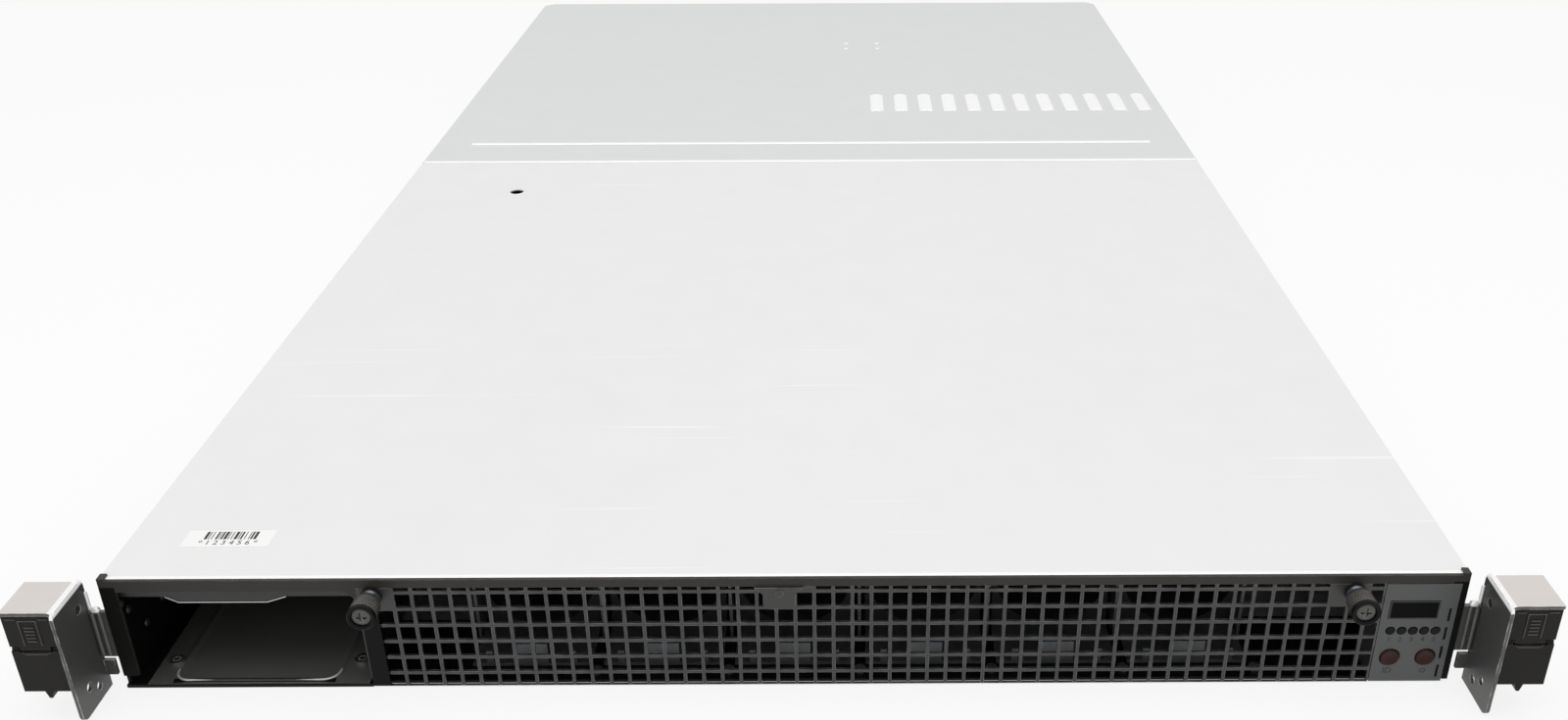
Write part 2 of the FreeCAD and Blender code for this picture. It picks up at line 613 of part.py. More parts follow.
# ---------------------------------------------------------------- drive bay
def drive_bay():
    """Bay roof, right-hand partition, rear wall and the valance behind the mouth."""
    y0, y1 = FRONT_T + GAP, FRONT_T + BAY_DEPTH
    roof_z = TOP - BAY_TOP_DROP
    left = -INNER_W + LIP_T + 2 * GAP
    roof = box(left, BAY_RIGHT, y0, y1, roof_z, roof_z + BAY_SHEET)
    wall = box(BAY_RIGHT - BAY_SHEET, BAY_RIGHT, y0, y1, SHEET, roof_z + BAY_SHEET)
    back = box(left, BAY_RIGHT, y1 - BAY_SHEET, y1, SHEET, roof_z + BAY_SHEET)
    back = back.cut(box(BAY_LEFT + 8, BAY_RIGHT - 8, y1 - 4, y1 + 4, 6, 24))
    edge = roof_z - BAY_VALANCE_H
    valance = box(left, BAY_RIGHT, BAY_VALANCE_IN, BAY_VALANCE_IN + BAY_SHEET, edge, roof_z + 0.1)
    start = BAY_LEFT + BAY_LIP_FROM
    outline = [(start, edge + 0.1), (start + BAY_LIP_SLOPE, edge - BAY_LIP_H),
               (start + BAY_LIP_W - BAY_LIP_SLOPE * 1.6, edge - BAY_LIP_H), (start + BAY_LIP_W, edge + 0.1)]
    lip = polygon([(x, BAY_VALANCE_IN, z) for x, z in outline]).extrude(V(0, BAY_SHEET, 0))
    return join([roof, wall, back, valance, lip])


def bay_backplane():
    """Board behind the bay with two drive connectors facing the mouth."""
    y = FRONT_T + BAY_DEPTH
    board = box(BAY_LEFT + 2, BAY_RIGHT - 3, y, y + BOARD_T, SHEET + 0.3, BACKPLANE_TOP)
    x0 = BAY_LEFT + BACKPLANE_PLUG_IN
    plugs = [box(x0, x0 + BACKPLANE_PLUG_W, y - 4.5, y + 0.1, z, z + 5) for z in BACKPLANE_PLUG_Z]
    return join([board] + plugs)


# ---------------------------------------------------------------- rack ears
def ear_bracket(side):
    """Bent sheet: top cap, vertical plate, neck and a strap along the chassis side."""
    x0, x1, t = EAR_PLATE_X, EAR_OUT_X, EAR_PLATE_T
    cap = side_box(side, x0, x1, -EAR_BOX_REACH, 0, TOP - t, TOP)
    plate_face = box(0, t, -EAR_REACH, EAR_BACK, 0, TOP)
    plate_edges = [e for e in plate_face.Edges
                   if abs(e.tangentAt(e.FirstParameter).x) > 0.9 and e.CenterOfMass.y < 0]
    plate = plate_face.makeFillet(3.0, plate_edges)
    plate.translate(V(x0 if side > 0 else -x0 - t, 0, 0))
    bend = side_box(side, x0 - 1, x0 + EAR_BEND_R, -EAR_REACH - 1, EAR_BACK + 1, TOP - EAR_BEND_R, TOP + 1)
    roll = rod(EAR_BEND_R, EAR_REACH + EAR_BACK + 4, side * (x0 + EAR_BEND_R), -EAR_REACH - 2, TOP - EAR_BEND_R)
    inner = rod(EAR_BEND_R - t, EAR_REACH + EAR_BACK + 4, side * (x0 + EAR_BEND_R), -EAR_REACH - 2,
                TOP - EAR_BEND_R)
    corner_fill = roll.cut(inner).common(side_box(side, x0, x0 + EAR_BEND_R, -EAR_BOX_REACH, 0,
                                                  TOP - EAR_BEND_R, TOP))
    z0, z1 = EAR_NECK_LOW, EAR_NECK_LOW + EAR_NECK_H
    neck = side_box(side, HALF_W, x0 + 0.1, EAR_BACK - t, EAR_BACK, z0, z1)
    strap = side_box(side, HALF_W, HALF_W + t, EAR_BACK - t, EAR_BACK + EAR_STRAP_L, z0, z1)
    heel = side_box(side, x0 - 3.6, x0 + 0.1, EAR_BACK - t, EAR_BACK, 5, 11)
    body = join([cap, plate, neck, strap, heel]).cut(bend.cut(roll))
    holes = [rod(EAR_HOLE_R, 8, side * (x0 - 3), y, z, X_AXIS * side)
             for y, z in ((-4.0, 35.0), (-9.8, 8.6), (-4.6, 5.0))]
    return join([body, corner_fill]).cut(holes)


def latch_span():
    """Inner and outer faces of the latch parts, measured from the middle plane."""
    return EAR_PLATE_X + EAR_PLATE_T, EAR_OUT_X - 0.3


def latch_lugs():
    """Distances of the two lugs that carry the latch pin."""
    inner, outer = latch_span()
    return inner + TONGUE_IN + 0.5, outer - TONGUE_IN - 0.5 - LUG_W


def latch_housing(side):
    """Plastic block under the cap, with a tongue over the lever and two lugs for the pin."""
    inner, outer = latch_span()
    face = -EAR_BOX_REACH + 0.2
    block = side_box(side, inner, outer, face, 0, LATCH_SPLIT, TOP - EAR_PLATE_T)
    tongue = side_box(side, inner + TONGUE_IN, outer - TONGUE_IN, face, face + LATCH_FACE_T,
                      LATCH_SPLIT - TONGUE_DROP, LATCH_SPLIT + 0.1)
    back = side_box(side, inner, outer, -LATCH_WALL, 0, LATCH_LOW + 2, LATCH_SPLIT + 0.1)
    lugs = [side_box(side, x, x + LUG_W, PIVOT_Y - 1.1, PIVOT_Y + 3, PIVOT_Z - 1.6, LATCH_SPLIT + 0.1)
            for x in latch_lugs()]
    hole = rod(PIN_R + 0.02, outer - inner, side * inner, PIVOT_Y, PIVOT_Z, X_AXIS * side)
    bend_r = EAR_BEND_R - EAR_PLATE_T - 0.05
    corner = rod(bend_r, 30, side * (EAR_PLATE_X + EAR_BEND_R), -25, TOP - EAR_BEND_R)
    relief = side_box(side, inner - 1, EAR_PLATE_X + EAR_BEND_R, -25, 5, TOP - EAR_BEND_R, TOP).cut(corner)
    return join([block, tongue, back] + lugs).cut([hole, relief])


def latch_lever(side):
    """Lower half of the latch: hollow block on a knuckle at each end, with a tooth below."""
    inner, outer = latch_span()
    inner += LATCH_SIDE_GAP
    face = -EAR_BOX_REACH + 0.2
    back = -LATCH_WALL - 1.8
    knuckle_w = TONGUE_IN - LATCH_SIDE_GAP - 0.3
    front = side_box(side, inner, outer, face, face + LATCH_FACE_T, LATCH_LOW, PIVOT_Z - 0.4)
    floor = side_box(side, inner, outer, face, back, LATCH_LOW, LATCH_LOW + LATCH_WALL)
    pieces = [front, floor]
    for x in (inner, outer - knuckle_w):
        pieces.append(side_box(side, x, x + knuckle_w, PIVOT_Y, back, LATCH_LOW, LATCH_SPLIT - GAP))
        pieces.append(side_box(side, x, x + knuckle_w, face, PIVOT_Y, LATCH_LOW, PIVOT_Z))
        pieces.append(rod(KNUCKLE_R - 0.1, knuckle_w, side * x, PIVOT_Y, PIVOT_Z, X_AXIS * side))
    middle = (inner + outer) / 2
    tooth = [(middle - TOOTH_W / 2, LATCH_LOW + 0.1), (middle + TOOTH_W / 2, LATCH_LOW + 0.1),
             (middle + 0.5, LATCH_LOW - TOOTH_H), (middle - 0.5, LATCH_LOW - TOOTH_H)]
    pieces.append(polygon([(side * x, face + 0.4, z) for x, z in tooth]).extrude(V(0, 6, 0)))
    bore = rod(PIN_R + RUN, outer - inner + 2, side * (inner - 1), PIVOT_Y, PIVOT_Z, X_AXIS * side)
    return join(pieces).cut(bore)


def latch_pin(side):
    inner, outer = latch_span()
    start = inner + LATCH_SIDE_GAP + 0.2
    return rod(PIN_R, outer - start - 0.2, side * start, PIVOT_Y, PIVOT_Z, X_AXIS * side)


def latch_spring(side):
    """Torsion coil on the pin, between the lugs."""
    first, second = latch_lugs()
    start, length = first + LUG_W + 0.2, second - first - LUG_W - 0.4
    coil = rod(PIN_R + 0.5, length, side * start, PIVOT_Y, PIVOT_Z, X_AXIS * side)
    return coil.cut(rod(PIN_R + 0.1, length + 2, side * (start - 1), PIVOT_Y, PIVOT_Z, X_AXIS * side))


# ---------------------------------------------------------------- fans
def fan_places():
    return [FAN_FIRST_X + FAN_PITCH * i for i in range(FAN_COUNT)]


def fan_axis_z():
    return SHEET + FAN_SIZE / 2


def fan_frame(x):
    """Square tube with a round bore, rear struts and the fixed shaft."""
    half, z = FAN_SIZE / 2, fan_axis_z()
    y0, y1 = FAN_FRONT, FAN_FRONT + FAN_L
    outer = rectangle(x - half, x + half, z - half, z + half, y0)
    bore = Part.Wire(Part.Circle(V(x, y0, z), Y_AXIS, FAN_BORE_R).toShape())
    tube = pierced(outer, [bore], V(0, FAN_L, 0))
    disc = rod(FAN_HUB_R, FAN_BACK_T, x, y1 - FAN_BACK_T, z)
    struts = [box(x - half + 1, x + half - 1, y1 - FAN_BACK_T, y1, z - 1, z + 1),
              box(x - 1, x + 1, y1 - FAN_BACK_T, y1, z - half + 1, z + half - 1)]
    shaft = rod(FAN_SHAFT_R, FAN_ROTOR_L + 1, x, y1 - FAN_BACK_T - FAN_ROTOR_L - 0.9, z)
    return join([tube, disc, shaft] + struts)


def rotor(x, y, z, hub_r, tip_r, length, blades, shaft_r):
    """Hub with pitched blades; the hub's bore runs on a fixed shaft."""
    hub = rod(hub_r, length, x, y, z)
    pieces = [hub]
    for i in range(blades):
        blade = box(-0.6, 0.6, -length * 0.42, length * 0.42, hub_r - 1, tip_r - 0.2)
        blade.rotate(V(0, 0, 0), Z_AXIS, 32)
        blade.rotate(V(0, 0, 0), Y_AXIS, 360.0 * i / blades)
        blade.translate(V(x, y + length / 2, z))
        pieces.append(blade)
    rim = rod(tip_r, length, x, y, z)
    body = join(pieces).common(rim)
    return body.cut(rod(shaft_r + RUN, length + 2, x, y - 1, z))


def fan_rotor(x):
    y = FAN_FRONT + FAN_L - FAN_BACK_T - FAN_ROTOR_L - GAP
    return rotor(x, y, fan_axis_z(), FAN_HUB_R, FAN_BORE_R - FAN_TIP_GAP, FAN_ROTOR_L, FAN_BLADES, FAN_SHAFT_R)


def fan_bracket():
    """Sheet fins between the fans, with bent feet and small tabs towards the grille."""
    solids = []
    half = FAN_SIZE / 2
    edges = [fan_places()[0] - half - GAP - FIN_T] + [x + FAN_PITCH - half - (FAN_PITCH - FAN_SIZE) / 2 - FIN_T / 2
                                                      for x in fan_places()[:-1]]
    edges.append(fan_places()[-1] + half + GAP)
    for x in edges:
        fin = box(x, x + FIN_T, FAN_FRONT - 6, FAN_FRONT + FAN_L, SHEET, SHEET + 30)
        solids.append(fin)
    for x in fan_places():
        y = BRACKET_Y
        foot = box(x - half, x + half, y, FAN_FRONT - GAP, SHEET, SHEET + FIN_T)
        tab = box(x - BRACKET_TAB_W / 2, x + BRACKET_TAB_W / 2, y, y + FIN_T, SHEET, SHEET + BRACKET_TAB_H)
        ears = [box(x + s * (half - 6) - 1, x + s * (half - 6) + 1, y, y + FIN_T, SHEET, SHEET + 6) for s in (-1, 1)]
        solids.append(join([foot, tab] + ears))
    return group(solids)


# ---------------------------------------------------------------- boards
def port_spans():
    """Left and right ends of each rear port block."""
    spans, x = [], BOARD_LEFT + 6
    for width in PORT_WIDTHS:
        spans.append((x, x + width))
        x += width + PORT_STEP
    return spans


def motherboard():
    board = box(BOARD_LEFT, BOARD_RIGHT, BOARD_FRONT, BOARD_BACK, BOARD_Z, BOARD_TOP)
    hub_x, hub_y = BOARD_LEFT + HUB_SIZE, BOARD_BACK - HUB_FROM_BACK - HUB_SIZE
    hub = box(hub_x, hub_x + HUB_SIZE, hub_y, hub_y + HUB_SIZE, BOARD_TOP - 0.1, BOARD_TOP + HUB_H)
    plugs = []
    for i in range(PLUG_COUNT):
        x0, y0 = BOARD_LEFT + 6 + PLUG_PITCH * i, BOARD_FRONT + PLUG_IN
        plugs.append(box(x0, x0 + PLUG_W, y0, y0 + PLUG_D, BOARD_TOP - 0.1, BOARD_TOP + PLUG_H))
    return join([board, hub] + plugs)


def rear_ports():
    """Metal port blocks on the board's rear edge, reaching through the rear panel."""
    return group([box(x0, x1, REAR_FACE - PORT_D, REAR_FACE + 0.5, BOARD_TOP, BOARD_TOP + PORT_H)
                  for x0, x1 in port_spans()])


def board_standoffs():
    xs = [BOARD_LEFT + 8, (BOARD_LEFT + BOARD_RIGHT) / 2, BOARD_RIGHT - 8]
    ys = [BOARD_FRONT + 8, (BOARD_FRONT + BOARD_BACK) / 2, BOARD_BACK - 8]
    return group([rod(STANDOFF_R, BOARD_LIFT, x, y, SHEET, Z_AXIS) for x in xs for y in ys])


def cpu_sockets():
    half, top = SOCKET_SIZE / 2, BOARD_TOP + SOCKET_H
    well = CHIP_SIZE / 2 + GAP
    solids = []
    for x in CPU_X:
        block = box(x - half, x + half, CPU_Y - half, CPU_Y + half, BOARD_TOP, top)
        solids.append(block.cut(box(x - well, x + well, CPU_Y - well, CPU_Y + well, top - 2, top + 1)))
    return group(solids)


def processors():
    half, z = CHIP_SIZE / 2, BOARD_TOP + SOCKET_H - 2
    return group([box(x - half, x + half, CPU_Y - half, CPU_Y + half, z, z + CHIP_H) for x in CPU_X])


def heatsink(x):
    """Base plate with a comb of thin fins along the air flow."""
    half, z = SINK_SIZE / 2, BOARD_TOP + SOCKET_H - 2 + CHIP_H
    pitch = (SINK_SIZE - SINK_FIN_T) / (SINK_FINS - 1)
    outline = [(x - half, z)]
    for i in range(SINK_FINS):
        left = x - half + pitch * i
        outline += [(left, z + SINK_BASE), (left, z + SINK_H), (left + SINK_FIN_T, z + SINK_H),
                    (left + SINK_FIN_T, z + SINK_BASE)]
    outline.pop(1)
    outline[-1] = (x + half, z)
    face = polygon([(px, CPU_Y - half, pz) for px, pz in outline])
    return face.extrude(V(0, SINK_SIZE, 0))


def dimm_places():
    middle = sum(CPU_X) / 2
    return [middle + DIMM_PITCH * (i - (DIMM_COUNT - 1) / 2) for i in range(DIMM_COUNT)]


def dimm_slots():
    """Memory sockets with a groove that takes the module's lower edge."""
    solids = []
    y0, y1 = CPU_Y - DIMM_L / 2 - 4, CPU_Y + DIMM_L / 2 + 4
    for x in dimm_places():
        body = box(x - DIMM_SLOT_W / 2, x + DIMM_SLOT_W / 2, y0, y1, BOARD_TOP, BOARD_TOP + DIMM_SLOT_H)
        reach = DIMM_T / 2 + 0.1
        groove = box(x - reach, x + reach, y0 + 3.9, y1 - 3.9, BOARD_TOP + 2, BOARD_TOP + DIMM_SLOT_H + 1)
        solids.append(body.cut(groove))
    return group(solids)


def memory_modules():
    solids = []
    for x in dimm_places():
        low = BOARD_TOP + 2
        card = box(x - DIMM_T / 2, x + DIMM_T / 2, CPU_Y - DIMM_L / 2, CPU_Y + DIMM_L / 2, low, low + DIMM_H)
        chips = [box(x + DIMM_T / 2 - 0.1, x + DIMM_T / 2 + 0.9, CPU_Y - DIMM_L / 2 + 6 + 15 * i,
                     CPU_Y - DIMM_L / 2 + 17 + 15 * i, low + 8, low + 20) for i in range(8)]
        solids.append(join([card] + chips))
    return group(solids)


# ---------------------------------------------------------------- accelerators
def accelerator_boards():
    half, z = CARD_W / 2, SHEET + GAP
    return group([box(x - half, x + half, CARD_FRONT, CARD_FRONT + CARD_L, z, z + BOARD_T) for x in CARD_X])


def accelerator_shrouds():
    """Ducted covers over the cards, open at both ends for the air."""
    solids = []
    half, z = CARD_W / 2, SHEET + GAP + BOARD_T
    top = SHEET + GAP + CARD_H
    for x in CARD_X:
        hood = box(x - half, x + half, CARD_FRONT, CARD_FRONT + CARD_L, z, top)
        duct = box(x - half + SHROUD_T, x + half - SHROUD_T, CARD_FRONT - 1, CARD_FRONT + CARD_L + 1,
                   z - 1, top - SHROUD_T)
        fins = [box(x - half + 8 * i, x - half + 8 * i + 1, CARD_FRONT + 8, CARD_FRONT + CARD_L - 8,
                    z, top - SHROUD_T + 0.1) for i in range(1, int(CARD_W / 8))]
        solids.append(join([hood.cut(duct)] + fins))
    return group(solids)


# ---------------------------------------------------------------- power
def psu_left(index):
    return -INNER_W + GAP + 0.6 + index * (PSU_W + PSU_GAP)


def psu_fan_centre(index):
    return psu_left(index) + PSU_W - PSU_BORE_R - 1.5, PSU_LOW + PSU_H / 2


def psu_case(index):
    """Sheet case, open to the front, with a fan mouth, inlet window and wire bail at the rear."""
    x0, x1 = psu_left(index), psu_left(index) + PSU_W
    y0, y1 = PSU_FRONT, PSU_BACK
    z0, z1 = PSU_LOW, PSU_LOW + PSU_H
    t = PSU_WALL
    shell = box(x0, x1, y0, y1, z0, z1).cut(box(x0 + t, x1 - t, y0 - 1, y1 - t, z0 + t, z1 - t))
    fx, fz = psu_fan_centre(index)
    mouth = rod(PSU_BORE_R - 1.5, 6, fx, y1 - 3, fz)
    guard = [box(fx - PSU_BORE_R + 1, fx + PSU_BORE_R - 1, y1 - t, y1, fz + dz, fz + dz + 1)
             for dz in (-9, -0.5, 8)]
    hub = rod(4.0, t, fx, y1 - t, fz)
    shaft = rod(FAN_SHAFT_R, 21, fx, y1 - t - 20.9, fz)
    inlet_x = x0 + 2.2
    window = box(inlet_x - 0.1, inlet_x + 12.2, y1 - 3, y1 + 3, fz - INLET_W / 2 - 0.1, fz + INLET_W / 2 + 0.1)
    r = PSU_BAIL_R
    bail_x = x0 + PSU_W / 3 + 1
    bail = [rod(r - 0.3, PSU_HANDLE - r, bail_x, y1 - 0.1, z) for z in (z0 + 5, z1 - 7)]
    bail.append(rod(r, PSU_H - 8, bail_x, y1 + PSU_HANDLE - r, z0 + 3, Z_AXIS))
    px, py = psu_latch_pivot(index)
    low, high = PSU_LATCH_Z - 0.3, PSU_LATCH_Z + PSU_LATCH_W + 0.3
    lugs = [box(px - 1.4, px + 1.4, y1 - 0.1, py + 1.2, z, z + 1.2) for z in (low - 1.2, high)]
    pin = rod(PIN_R, high - low + 0.2, px, py, low - 0.1, Z_AXIS)
    return join([shell.cut([mouth, window]), hub, shaft, pin] + guard + bail + lugs)


def psu_core(index):
    """Inner board with its capacitors, transformer and the mains inlet, as one piece."""
    x0, x1 = psu_left(index) + PSU_WALL, psu_left(index) + PSU_W - PSU_WALL
    z = PSU_LOW + PSU_WALL
    fx, fz = psu_fan_centre(index)
    inlet_front = PSU_BACK - INLET_BODY_L
    board = box(x0, x1, PSU_FRONT - 8, inlet_front + 1, z, z + BOARD_T)
    blocks = []
    for i in range(4):
        y0 = PSU_FRONT + PSU_BLOCK_FROM + PSU_BLOCK_PITCH * i
        blocks.append(box(x0 + 4, x1 - 6, y0, y0 + PSU_BLOCK_L, z, z + 24))
    inlet_x = psu_left(index) + 2.2
    inlet = box(inlet_x, inlet_x + 12, inlet_front, PSU_BACK + 0.4, fz - INLET_W / 2, fz + INLET_W / 2)
    socket = box(inlet_x + 1.5, inlet_x + 10.5, PSU_BACK - INLET_DEEP, PSU_BACK + 2, fz - 11, fz + 11)
    tail = box(inlet_x, inlet_x + 12, inlet_front - 9, inlet_front + 1, z, fz)
    return join([board, inlet.cut(socket), tail] + blocks)


def psu_rotor(index):
    fx, fz = psu_fan_centre(index)
    return rotor(fx, PSU_BACK - PSU_WALL - GAP - 20, fz, 7.0, PSU_BORE_R - 1.2, 20.0, FAN_BLADES, FAN_SHAFT_R)


def psu_latch_pivot(index):
    """Release tab's pivot: beside the bail, low on the rear face."""
    return psu_left(index) + PSU_W - 6, PSU_BACK + 1.8


def psu_latch(index):
    """Sprung release tab that is squeezed towards the bail."""
    x, y = psu_latch_pivot(index)
    z, end = PSU_LATCH_Z, y + PSU_LATCH_L - 3
    knuckle = rod(1.3, PSU_LATCH_W, x, y, z, Z_AXIS)
    leaf = box(x - 0.8, x + 0.8, y, end, z, z + PSU_LATCH_W)
    thumb = box(x - 0.8, x + 4, end - 1.5, end, z, z + PSU_LATCH_W)
    return join([knuckle, leaf, thumb]).cut(rod(PIN_R + RUN, PSU_LATCH_W + 2, x, y, z - 1, Z_AXIS))


def power_backplane():
    """Board ahead of the power supplies, standing on the floor, with a bar to the main board."""
    y = PSU_FRONT - 8 - GAP - BOARD_T - 6
    board = box(psu_left(0), BOARD_LEFT - GAP, y, y + BOARD_T, SHEET, UNDER_COVER - 2)
    plugs = [box(psu_left(i) + 8, psu_left(i) + PSU_W - 8, y + BOARD_T - 0.1, y + BOARD_T + 6,
                 PSU_LOW, PSU_LOW + 12) for i in range(PSU_COUNT)]
    return join([board] + plugs)


# ---------------------------------------------------------------- small parts
def fasteners():
    """Pan-head screws: ear straps, floor corners of the bay, floor edge under the fans."""
    heads = []
    z = EAR_NECK_LOW + EAR_NECK_H / 2
    for side in (-1, 1):
        for y in (EAR_BACK + 12, EAR_BACK + EAR_STRAP_L - 10):
            heads.append(rod(3.0, 1.4, side * (HALF_W + EAR_PLATE_T), y, z, X_AXIS * side))
    for x in (BAY_LEFT + 7, BAY_RIGHT - 7):
        heads.append(rod(2.4, 1.2, x, 12, SHEET, Z_AXIS))
    for x in fan_places():
        heads.append(rod(2.0, 0.9, x + FAN_PITCH / 2, BRACKET_Y - 3, SHEET, Z_AXIS))
    return group(heads)


def ribbon_cable():
    """Flat cable from the control board along the right wall to the main board."""
    out = INNER_W - GAP - LIP_T - GAP
    z0 = 9.0
    y0 = BOARD_FRONT_Y + BOARD_T + 5
    lead = box(PANEL_LEFT + PANEL_WALL + 12, out, y0, y0 + RIBBON_T, z0, z0 + RIBBON_H)
    run = box(out - RIBBON_T, out, y0, BOARD_FRONT + RIBBON_LAP, z0, z0 + RIBBON_H)
    end = box(BOARD_RIGHT - 12, out, BOARD_FRONT + RIBBON_LAP - RIBBON_T, BOARD_FRONT + RIBBON_LAP, z0, z0 + RIBBON_H)
    return join([lead, run, end])


def build_all():
    os.makedirs("parts", exist_ok=True)
    save("chassis_tray", chassis_tray())
    save("rear_panel", rear_panel())
    save("front_top_cover", front_top_cover())
    save("rear_top_cover", rear_top_cover())
    save("barcode_label", barcode_label())
    save("front_frame", front_frame())
    save("front_grille", front_grille())
    for word, x in zip(("left", "right"), SCREW_X):
        save("thumbscrew_" + word, thumbscrew(x))
        save("screw_washer_" + word, screw_washer(x))
    save("control_panel", control_panel())
    save("badge_plate", badge_plate())
    save("control_board", control_board())
    save("status_leds", status_leds())
    save("locator_button", button(button_places()[0]))
    save("power_button", button(button_places()[1]))
    save("drive_bay", drive_bay())
    save("bay_backplane", bay_backplane())
    for word, side in (("left", -1), ("right", 1)):
        save("ear_bracket_" + word, ear_bracket(side))
        save("latch_housing_" + word, latch_housing(side))
        save("latch_lever_" + word, latch_lever(side))
        save("latch_pin_" + word, latch_pin(side))
        save("latch_spring_" + word, latch_spring(side))
    save("fan_frames", group([fan_frame(x) for x in fan_places()]))
    for number, x in enumerate(fan_places(), 1):
        save("fan_rotor_%d" % number, fan_rotor(x))
    save("fan_bracket", fan_bracket())
    save("motherboard", motherboard())
    save("rear_ports", rear_ports())
    save("board_standoffs", board_standoffs())
    save("cpu_sockets", cpu_sockets())
    save("processors", processors())
    for number, x in enumerate(CPU_X, 1):
        save("heatsink_%d" % number, heatsink(x))
    save("dimm_slots", dimm_slots())
    save("memory_modules", memory_modules())
    save("accelerator_boards", accelerator_boards())
    save("accelerator_shrouds", accelerator_shrouds())
    for index in range(PSU_COUNT):
        save("psu_%d_case" % (index + 1), psu_case(index))
        save("psu_%d_core" % (index + 1), psu_core(index))
        save("psu_%d_rotor" % (index + 1), psu_rotor(index))
        save("psu_%d_latch" % (index + 1), psu_latch(index))
    save("power_backplane", power_backplane())
    save("fasteners", fasteners())
    save("ribbon_cable", ribbon_cable())


build_all()
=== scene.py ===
import math

import bmesh
import bpy
import numpy as np
from bpy.props import FloatProperty, FloatVectorProperty, PointerProperty
from mathutils import Matrix, Vector


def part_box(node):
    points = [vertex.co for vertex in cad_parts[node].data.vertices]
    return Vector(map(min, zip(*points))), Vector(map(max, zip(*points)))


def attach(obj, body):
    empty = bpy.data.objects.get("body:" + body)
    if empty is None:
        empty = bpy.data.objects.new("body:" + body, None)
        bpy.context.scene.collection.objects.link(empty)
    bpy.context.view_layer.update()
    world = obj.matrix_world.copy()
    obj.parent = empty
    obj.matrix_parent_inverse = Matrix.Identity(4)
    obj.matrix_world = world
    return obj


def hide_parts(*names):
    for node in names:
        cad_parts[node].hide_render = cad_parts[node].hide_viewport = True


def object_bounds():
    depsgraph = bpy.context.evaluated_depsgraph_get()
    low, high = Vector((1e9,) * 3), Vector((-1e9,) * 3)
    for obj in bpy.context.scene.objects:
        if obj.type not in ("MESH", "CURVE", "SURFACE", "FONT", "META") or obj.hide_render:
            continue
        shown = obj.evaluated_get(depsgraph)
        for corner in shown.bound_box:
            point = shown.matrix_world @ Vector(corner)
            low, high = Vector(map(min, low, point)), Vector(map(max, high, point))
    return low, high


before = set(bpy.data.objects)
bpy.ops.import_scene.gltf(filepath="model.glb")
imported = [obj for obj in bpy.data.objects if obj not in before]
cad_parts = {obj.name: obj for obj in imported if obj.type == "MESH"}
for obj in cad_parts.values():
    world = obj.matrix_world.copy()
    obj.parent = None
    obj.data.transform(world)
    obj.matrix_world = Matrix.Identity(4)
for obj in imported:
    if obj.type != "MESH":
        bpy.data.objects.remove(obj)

bl_info = {
    "name": "1U Rack Server",
    "version": (1, 0, 0),
    "blender": (4, 5, 0),
    "location": "3D View > Sidebar > Rack Server",
    "description": "Dresses the packed frame of a 1U rack server in finished surfaces",
    "category": "Object",
}

MM = 0.001
CAD_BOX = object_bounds()
BOX = {node: tuple(np.array(corner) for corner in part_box(node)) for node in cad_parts}
FRONT_Y = BOX["front_frame"][0][1]
SIDES = (("left", -1), ("right", 1))


def linear(red, green, blue):
    """Scene-linear colour of an 8-bit screen colour."""
    share = np.array([red, green, blue]) / 255.0
    return tuple(np.where(share <= 0.04045, share / 12.92, ((share + 0.055) / 1.055) ** 2.4))


# ---------------------------------------------------------------- settings
def colour_setting(label, words, rgb):
    return FloatVectorProperty(name=label, description=words, subtype="COLOR", size=3,
                               min=0.0, max=1.0, default=linear(*rgb))


def length_setting(label, words, metres):
    return FloatProperty(name=label, description=words, subtype="DISTANCE", unit="LENGTH",
                         min=0.0, default=metres, precision=5)


def share_setting(label, words, value):
    return FloatProperty(name=label, description=words, subtype="FACTOR", min=0.0, max=1.0, default=value)


class ServerColours(bpy.types.PropertyGroup):
    front_cover: colour_setting("Front cover", "Coated sheet of the front top cover", (236, 237, 236))
    # Painted shade: the rear cover is set darker than the front cover, for the light that falls off towards the rear.
    rear_cover: colour_setting("Rear cover", "Coated sheet of the rear top cover", (222, 223, 223))
    body_steel: colour_setting("Body steel", "Galvanised floor, walls and rear panel", (196, 198, 199))
    black_paint: colour_setting("Black paint", "Powder coat of the front frame, grille and bay", (44, 42, 38))
    ear_steel: colour_setting("Ear steel", "Satin dark coat of the ear plates", (84, 84, 83))
    # Painted highlight: the ear's top face is set much lighter than the plate it is bent from, where the overhead
    # light falls on it.
    ear_top_highlight: colour_setting("Ear cap", "Top face of the ears, lighter as a painted highlight", (214, 209, 205))
    latch: colour_setting("Latch plastic", "Moulded latch housings and levers", (25, 24, 21))
    panel: colour_setting("Panel plastic", "Moulded control panel", (78, 79, 80))
    button: colour_setting("Button", "Dark red push buttons", (54, 27, 27))
    board: colour_setting("Board", "Solder mask of the circuit boards", (24, 84, 50))
    print_ink: colour_setting("Print ink", "Printed marks and label bars", (24, 24, 25))


class ServerEdges(bpy.types.PropertyGroup):
    sheet: length_setting("Sheet edge", "Rounding of folded sheet edges", 0.00028)
    plastic: length_setting("Plastic edge", "Rounding of moulded edges", 0.0004)
    grille: length_setting("Grille edge", "Rounding round each grille hole", 0.00022)
    wear_and_highlight: share_setting("Wear", "How much paint has gone from the edges", 0.45)


class ServerStage(bpy.types.PropertyGroup):
    lens: FloatProperty(name="Lens", description="Focal length of the camera", unit="CAMERA",
                        min=1.0, default=32.868)
    key: FloatProperty(name="Key light", description="Power of the light overhead", unit="POWER",
                       min=0.0, default=6.5)
    side: FloatProperty(name="Side light", description="Power of each side light", unit="POWER",
                        min=0.0, default=0.7)
    world: FloatProperty(name="Room light", description="Strength of the even room light",
                         min=0.0, default=0.62)
    floor: colour_setting("Floor", "Plain pale floor", (250, 250, 250))


def colours():
    return bpy.context.scene.server_colours


def edges():
    return bpy.context.scene.server_edges


